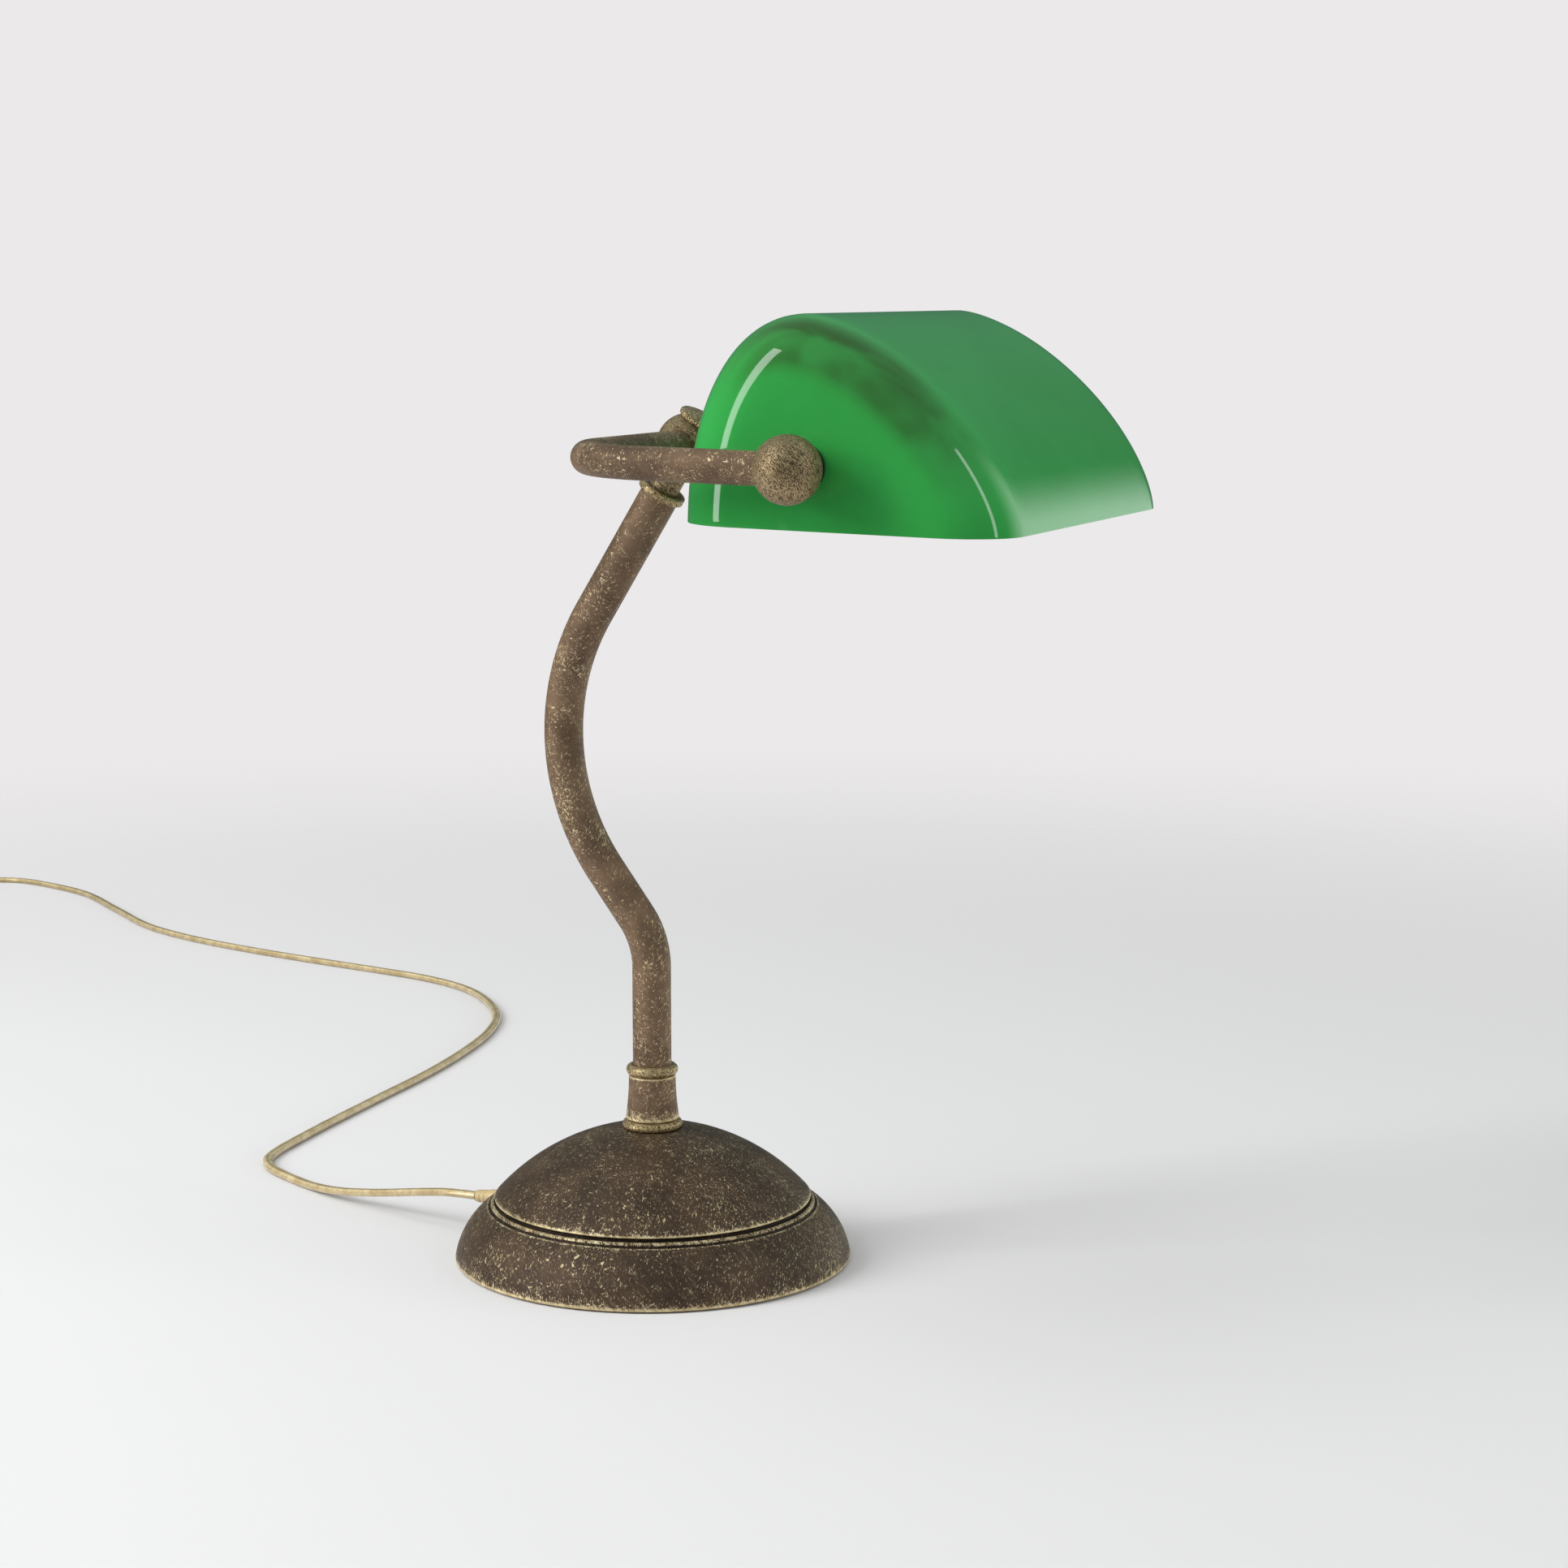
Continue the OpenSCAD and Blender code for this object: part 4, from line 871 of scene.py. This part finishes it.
finish_piece("swan_stem", sweep("swan_stem", stem_path(), circle(STEM_R, 64)), "stand",
             [tube_bronze], ("stem_tube",), 60)


def yoke_path():
    side = END_BALL_X - YOKE_BEND_R
    half = [(side * t / 24, 0) for t in range(24)]
    half += arc((side, -YOKE_BEND_R), YOKE_BEND_R, math.pi / 2, 0, 24)
    half += [(END_BALL_X, -YOKE_BEND_R - (ARM_END - YOKE_BEND_R) * t / 14) for t in range(1, 15)]
    line = [(-x, y) for x, y in reversed(half[1:])] + half
    return [tuple(at_yoke @ Vector((x, y, 0))) for x, y in line]


finish_piece("yoke_bow", sweep("yoke_bow", yoke_path(), circle(YOKE_R, 64)), "yoke",
             [tube_bronze], ("yoke_tube",), 60)

NECK_R = 7
neck_x = math.sqrt(BALL_R ** 2 - NECK_R ** 2)
ball_outline = ([(ON_AXIS, -BALL_R)] + arc((0, 0), BALL_R, -math.pi / 2 + 0.01, math.asin(neck_x / BALL_R), 60)
                + [(NECK_R, BALL_R + 0.05), (ON_AXIS, BALL_R + 0.05)])
for label, sign, turned in (("left", -1, plus_x), ("right", 1, minus_x)):
    place = at_shade @ Matrix.Translation((sign * END_BALL_X, 0, 0)) @ turned
    mesh = lathe("turned_ball_" + label, ball_outline, place, around=96, longest=1.2)
    finish_piece("turned_ball_" + label, mesh, "yoke", [ball_brass], ("end_ball_" + label,))


# ---------------------------------------------------------------- glass shade
def shade_section(inset, front_steps=54, rear_steps=34):
    """Points (y, z) from the rear rim over the crown to the front rim."""
    line = []
    for k in range(rear_steps):
        a = math.pi / 2 * (rear_steps - k) / rear_steps
        line.append((CROWN_BACK + (SHADE_REAR - inset) * math.sin(a) ** (2 / REAR_POWER),
                     (SHADE_H - inset) * max(math.cos(a), 0) ** (2 / REAR_POWER) - AXIS_H))
    for k in range(front_steps + 1):
        a = math.pi / 2 * k / front_steps
        line.append((CROWN_BACK - (SHADE_FRONT - inset) * math.sin(a) ** (2 / FRONT_POWER),
                     (SHADE_H - inset) * max(math.cos(a), 0) ** (2 / FRONT_POWER) - AXIS_H))
    return line


def make_shade():
    stations = []
    steps = 16
    for s in (-1, 1):
        for k in range(steps + 1):
            a = math.pi / 2 * (k if s > 0 else steps - k) / steps
            stations.append((s * (SHADE_L / 2 - SHOULDER_R + SHOULDER_R * math.sin(a)),
                             shade_section(SHOULDER_R * (1 - math.cos(a)))))
        if s < 0:
            stations += [(-85 + 170 * t / 20, shade_section(0)) for t in range(1, 20)]
    mesh = bpy.data.meshes.new("shade_skin")
    made = bmesh.new()
    thick = made.verts.layers.float.new("thick")
    rows = [[made.verts.new(at_shade @ Vector((x, y, z)) * MM) for y, z in line] for x, line in stations]
    # painted dark reflection: thick is set over the crown band of each end shoulder
    for row, (x, line) in zip(rows, stations):
        into = (abs(x) - SHADE_L / 2 + SHOULDER_R) / SHOULDER_R
        over = smooth(0.0, 0.55, into) * smooth(1.02, 0.9, into) if into > 0 else 0
        for k, vertex in enumerate(row):
            crest = smooth(0.12, 0.38, k / len(row)) * smooth(0.9, 0.62, k / len(row))
            vertex[thick] = over * crest
    for a, b in zip(rows, rows[1:]):
        for k in range(len(a) - 1):
            made.faces.new((a[k], b[k], b[k + 1], a[k + 1]))
    # the flat ends, drawn in towards the foot of the crown
    for row, s in ((rows[0], -1), (rows[-1], 1)):
        flat = stations[0 if s < 0 else -1][1]
        last = row
        for f in (0.8, 0.6, 0.4, 0.2):
            ring = [made.verts.new(at_shade @ Vector((s * SHADE_L / 2, CROWN_BACK + (y - CROWN_BACK) * f,
                                                      -AXIS_H + (z + AXIS_H) * f)) * MM) for y, z in flat]
            for k in range(len(ring) - 1):
                made.faces.new((last[k], last[k + 1], ring[k + 1], ring[k]) if s < 0 else
                               (last[k + 1], last[k], ring[k], ring[k + 1]))
            last = ring
        hub = made.verts.new(at_shade @ Vector((s * SHADE_L / 2, CROWN_BACK, -AXIS_H)) * MM)
        for k in range(len(last) - 1):
            made.faces.new((last[k], last[k + 1], hub) if s < 0 else (last[k + 1], last[k], hub))
    bmesh.ops.recalc_face_normals(made, faces=made.faces)
    highest = max(made.faces, key=lambda f: f.calc_center_median().z)
    if highest.normal.z < 0:
        bmesh.ops.reverse_faces(made, faces=made.faces)
    made.to_mesh(mesh)
    made.free()
    piece = finish_piece("shade_glass", mesh, "shade", [glass, lining], ("glass_shade",), 55)
    wall = piece.modifiers.new("wall", "SOLIDIFY")
    wall.thickness = GLASS_T * MM
    wall.offset = -1
    wall.use_even_offset = True
    wall.material_offset = 1
    wall.material_offset_rim = 0
    rim = piece.modifiers.new("ground rim", "BEVEL")
    rim.width = 0.9 * MM
    rim.segments = 3
    rim.limit_method = "ANGLE"
    rim.angle_limit = math.radians(60)


make_shade()

# ---------------------------------------------------------------- bulb
WASHER_T, NUT_T = 1.5, 4
NUT_IN = SHADE_L / 2 - GLASS_T - WASHER_T - NUT_T
HOLDER_L = 53
BULB_X = NUT_IN - HOLDER_L + 1


def make_bulb():
    r, t, neck, long = 15, 0.9, 13.2, 96
    outer = ([(neck - 0.4, 0), (neck - 0.2, 6), (r - 0.6, 13), (r, 18)]
             + arc((0, long - r), r, 0, math.pi / 2, 24))
    inner = (arc((0, long - r), r - t, math.pi / 2, 0, 24)
             + [(r - t, 18), (r - 0.6 - t, 13), (neck - 0.2 - t, 6), (neck - 0.4 - t, 0)])
    place = at_shade @ Matrix.Translation((BULB_X - 1.05, 0, 0)) @ minus_x
    mesh = lathe("opal_bulb", outer + inner, place, around=96, corner=0, longest=3)
    finish_piece("opal_bulb", mesh, "yoke", [opal], ("bulb_glass",))


make_bulb()

# ---------------------------------------------------------------- finishes of the CAD nodes that stay in sight
cad_finish = {
    "base_weight": iron, "bottom_plate": zinc, "felt_pad": felt(), "plate_screws": zinc,
    "threaded_tube": bare_brass, "tube_nut": zinc, "tube_washer": zinc, "stem_bushing": bare_brass,
    "joint_ring": brass, "joint_ball": ball_brass, "clamp_shoe": bare_brass, "clamp_stud": brass,
    "clamp_knob": brass, "pivot_nipples": bare_brass, "outer_washers": rubber, "inner_washers": rubber,
    "inner_nuts": zinc, "holder_cap": brass, "holder_shell": brass, "holder_block": porcelain,
    "screw_shell": bare_brass, "centre_contact": bare_brass, "switch_key": bakelite,
    "bulb_cap": cap_metal, "stem_flex": gold_plastic, "yoke_flex": gold_plastic, "cord_anchor": zinc,
    "anchor_screws": zinc, "plug_pins": bare_brass}
for name, material in cad_finish.items():
    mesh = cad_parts[name].data
    mesh.materials.clear()
    mesh.materials.append(material)


# ---------------------------------------------------------------- floor, world and lights
FLOOR_R, FADE_FROM, FADE_TO = 14, 0.45, 1.7  # metres


def make_floor():
    mesh = bpy.data.meshes.new("floor")
    made = bmesh.new()
    bmesh.ops.create_circle(made, cap_ends=True, radius=FLOOR_R, segments=96)
    made.to_mesh(mesh)
    made.free()
    floor = bpy.data.objects.new("floor", mesh)
    bpy.context.scene.collection.objects.link(floor)
    material = bpy.data.materials.new("pale floor")
    material.use_nodes = True
    tree = material.node_tree
    tree.nodes.clear()
    place = put(tree, "TexCoord").outputs["Object"]
    away = put(tree, "VectorMath", {0: place}, operation="LENGTH").outputs["Value"]
    matt = put(tree, "BsdfPrincipled", {"Base Color": (0.59, 0.59, 0.592, 1), "Roughness": 0.85}).outputs[0]
    clear = put(tree, "BsdfTransparent").outputs[0]
    below = put(tree, "NewGeometry").outputs["Backfacing"]
    gone = maths(tree, "MAXIMUM", ramp(tree, away, FADE_FROM, FADE_TO), below)
    shown = put(tree, "MixShader", {0: gone, 1: matt, 2: clear}).outputs[0]
    out = put(tree, "OutputMaterial")
    tree.links.new(shown, out.inputs["Surface"])
    mesh.materials.append(material)


BACKGROUND = rgb(235, 233, 234)


def make_world():
    """Even grey to the camera, soft light on the lamp, and a darker room with a pale glow in its gloss."""
    world = bpy.data.worlds.new("studio")
    bpy.context.scene.world = world
    world.use_nodes = True
    tree = world.node_tree
    tree.nodes.clear()
    direction = put(tree, "TexCoord").outputs["Generated"]
    parts = put(tree, "SeparateXYZ", {0: direction}).outputs
    height = parts["Z"]
    lit = mix(tree, ramp(tree, height, -0.1, 0.9), (0.38, 0.38, 0.38, 1), (0.62, 0.62, 0.62, 1))
    mirrored = mix(tree, ramp(tree, height, 0.1, 0.95), (0.08, 0.12, 0.12, 1), (0.36, 0.48, 0.50, 1))
    low_right = put(tree, "VectorMath", {0: direction, 1: (0.0, -1.0, -0.8)},
                    operation="DOT_PRODUCT").outputs["Value"]
    glow_there = maths(tree, "MULTIPLY", ramp(tree, low_right, 0.02, 0.3), ramp(tree, parts["X"], 0.3, 0.8))
    mirrored = mix(tree, glow_there, mirrored, (1.3, 1.5, 1.38, 1))
    ray = put(tree, "LightPath").outputs
    colour = mix(tree, ray["Is Camera Ray"], mix(tree, ray["Is Glossy Ray"], lit, mirrored), BACKGROUND)
    glow = put(tree, "Background", {"Color": colour, "Strength": 1.0}).outputs[0]
    out = put(tree, "OutputWorld")
    tree.links.new(glow, out.inputs["Surface"])


def soft_lamp(name, place, target, width, height, watts, seen=True):
    """An area lamp aimed at a target; seen says whether gloss mirrors it."""
    data = bpy.data.lights.new(name, "AREA")
    data.shape = "RECTANGLE"
    data.size, data.size_y, data.energy = width, height, watts
    lamp = bpy.data.objects.new(name, data)
    bpy.context.scene.collection.objects.link(lamp)
    lamp.location = place
    lamp.visible_glossy = seen
    aim = Vector(target) - Vector(place)
    lamp.rotation_mode = "QUATERNION"
    lamp.rotation_quaternion = aim.to_track_quat("-Z", "Y")


make_floor()
make_world()
soft_lamp("key softbox", (-1.3, 1.7, 1.5), (0, -0.1, 0.3), 0.9, 1.4, 50, seen=False)
soft_lamp("key strip", (-1.5, 1.6, 1.2), (0, -0.1, 0.33), 0.52, 2.8, 30)
soft_lamp("ridge strip", (-0.15, -2.4, 1.25), (0, -0.1, 0.33), 0.24, 2.2, 8)
soft_lamp("front softbox", (0.5, -2.4, 0.5), (0, -0.1, 0.36), 1.6, 0.6, 19, seen=False)
soft_lamp("overhead box", (-0.4, 0.6, 2.6), (0, 0, 0.2), 1.6, 1.6, 16, seen=False)
bpy.context.scene.view_settings.view_transform = "Standard"
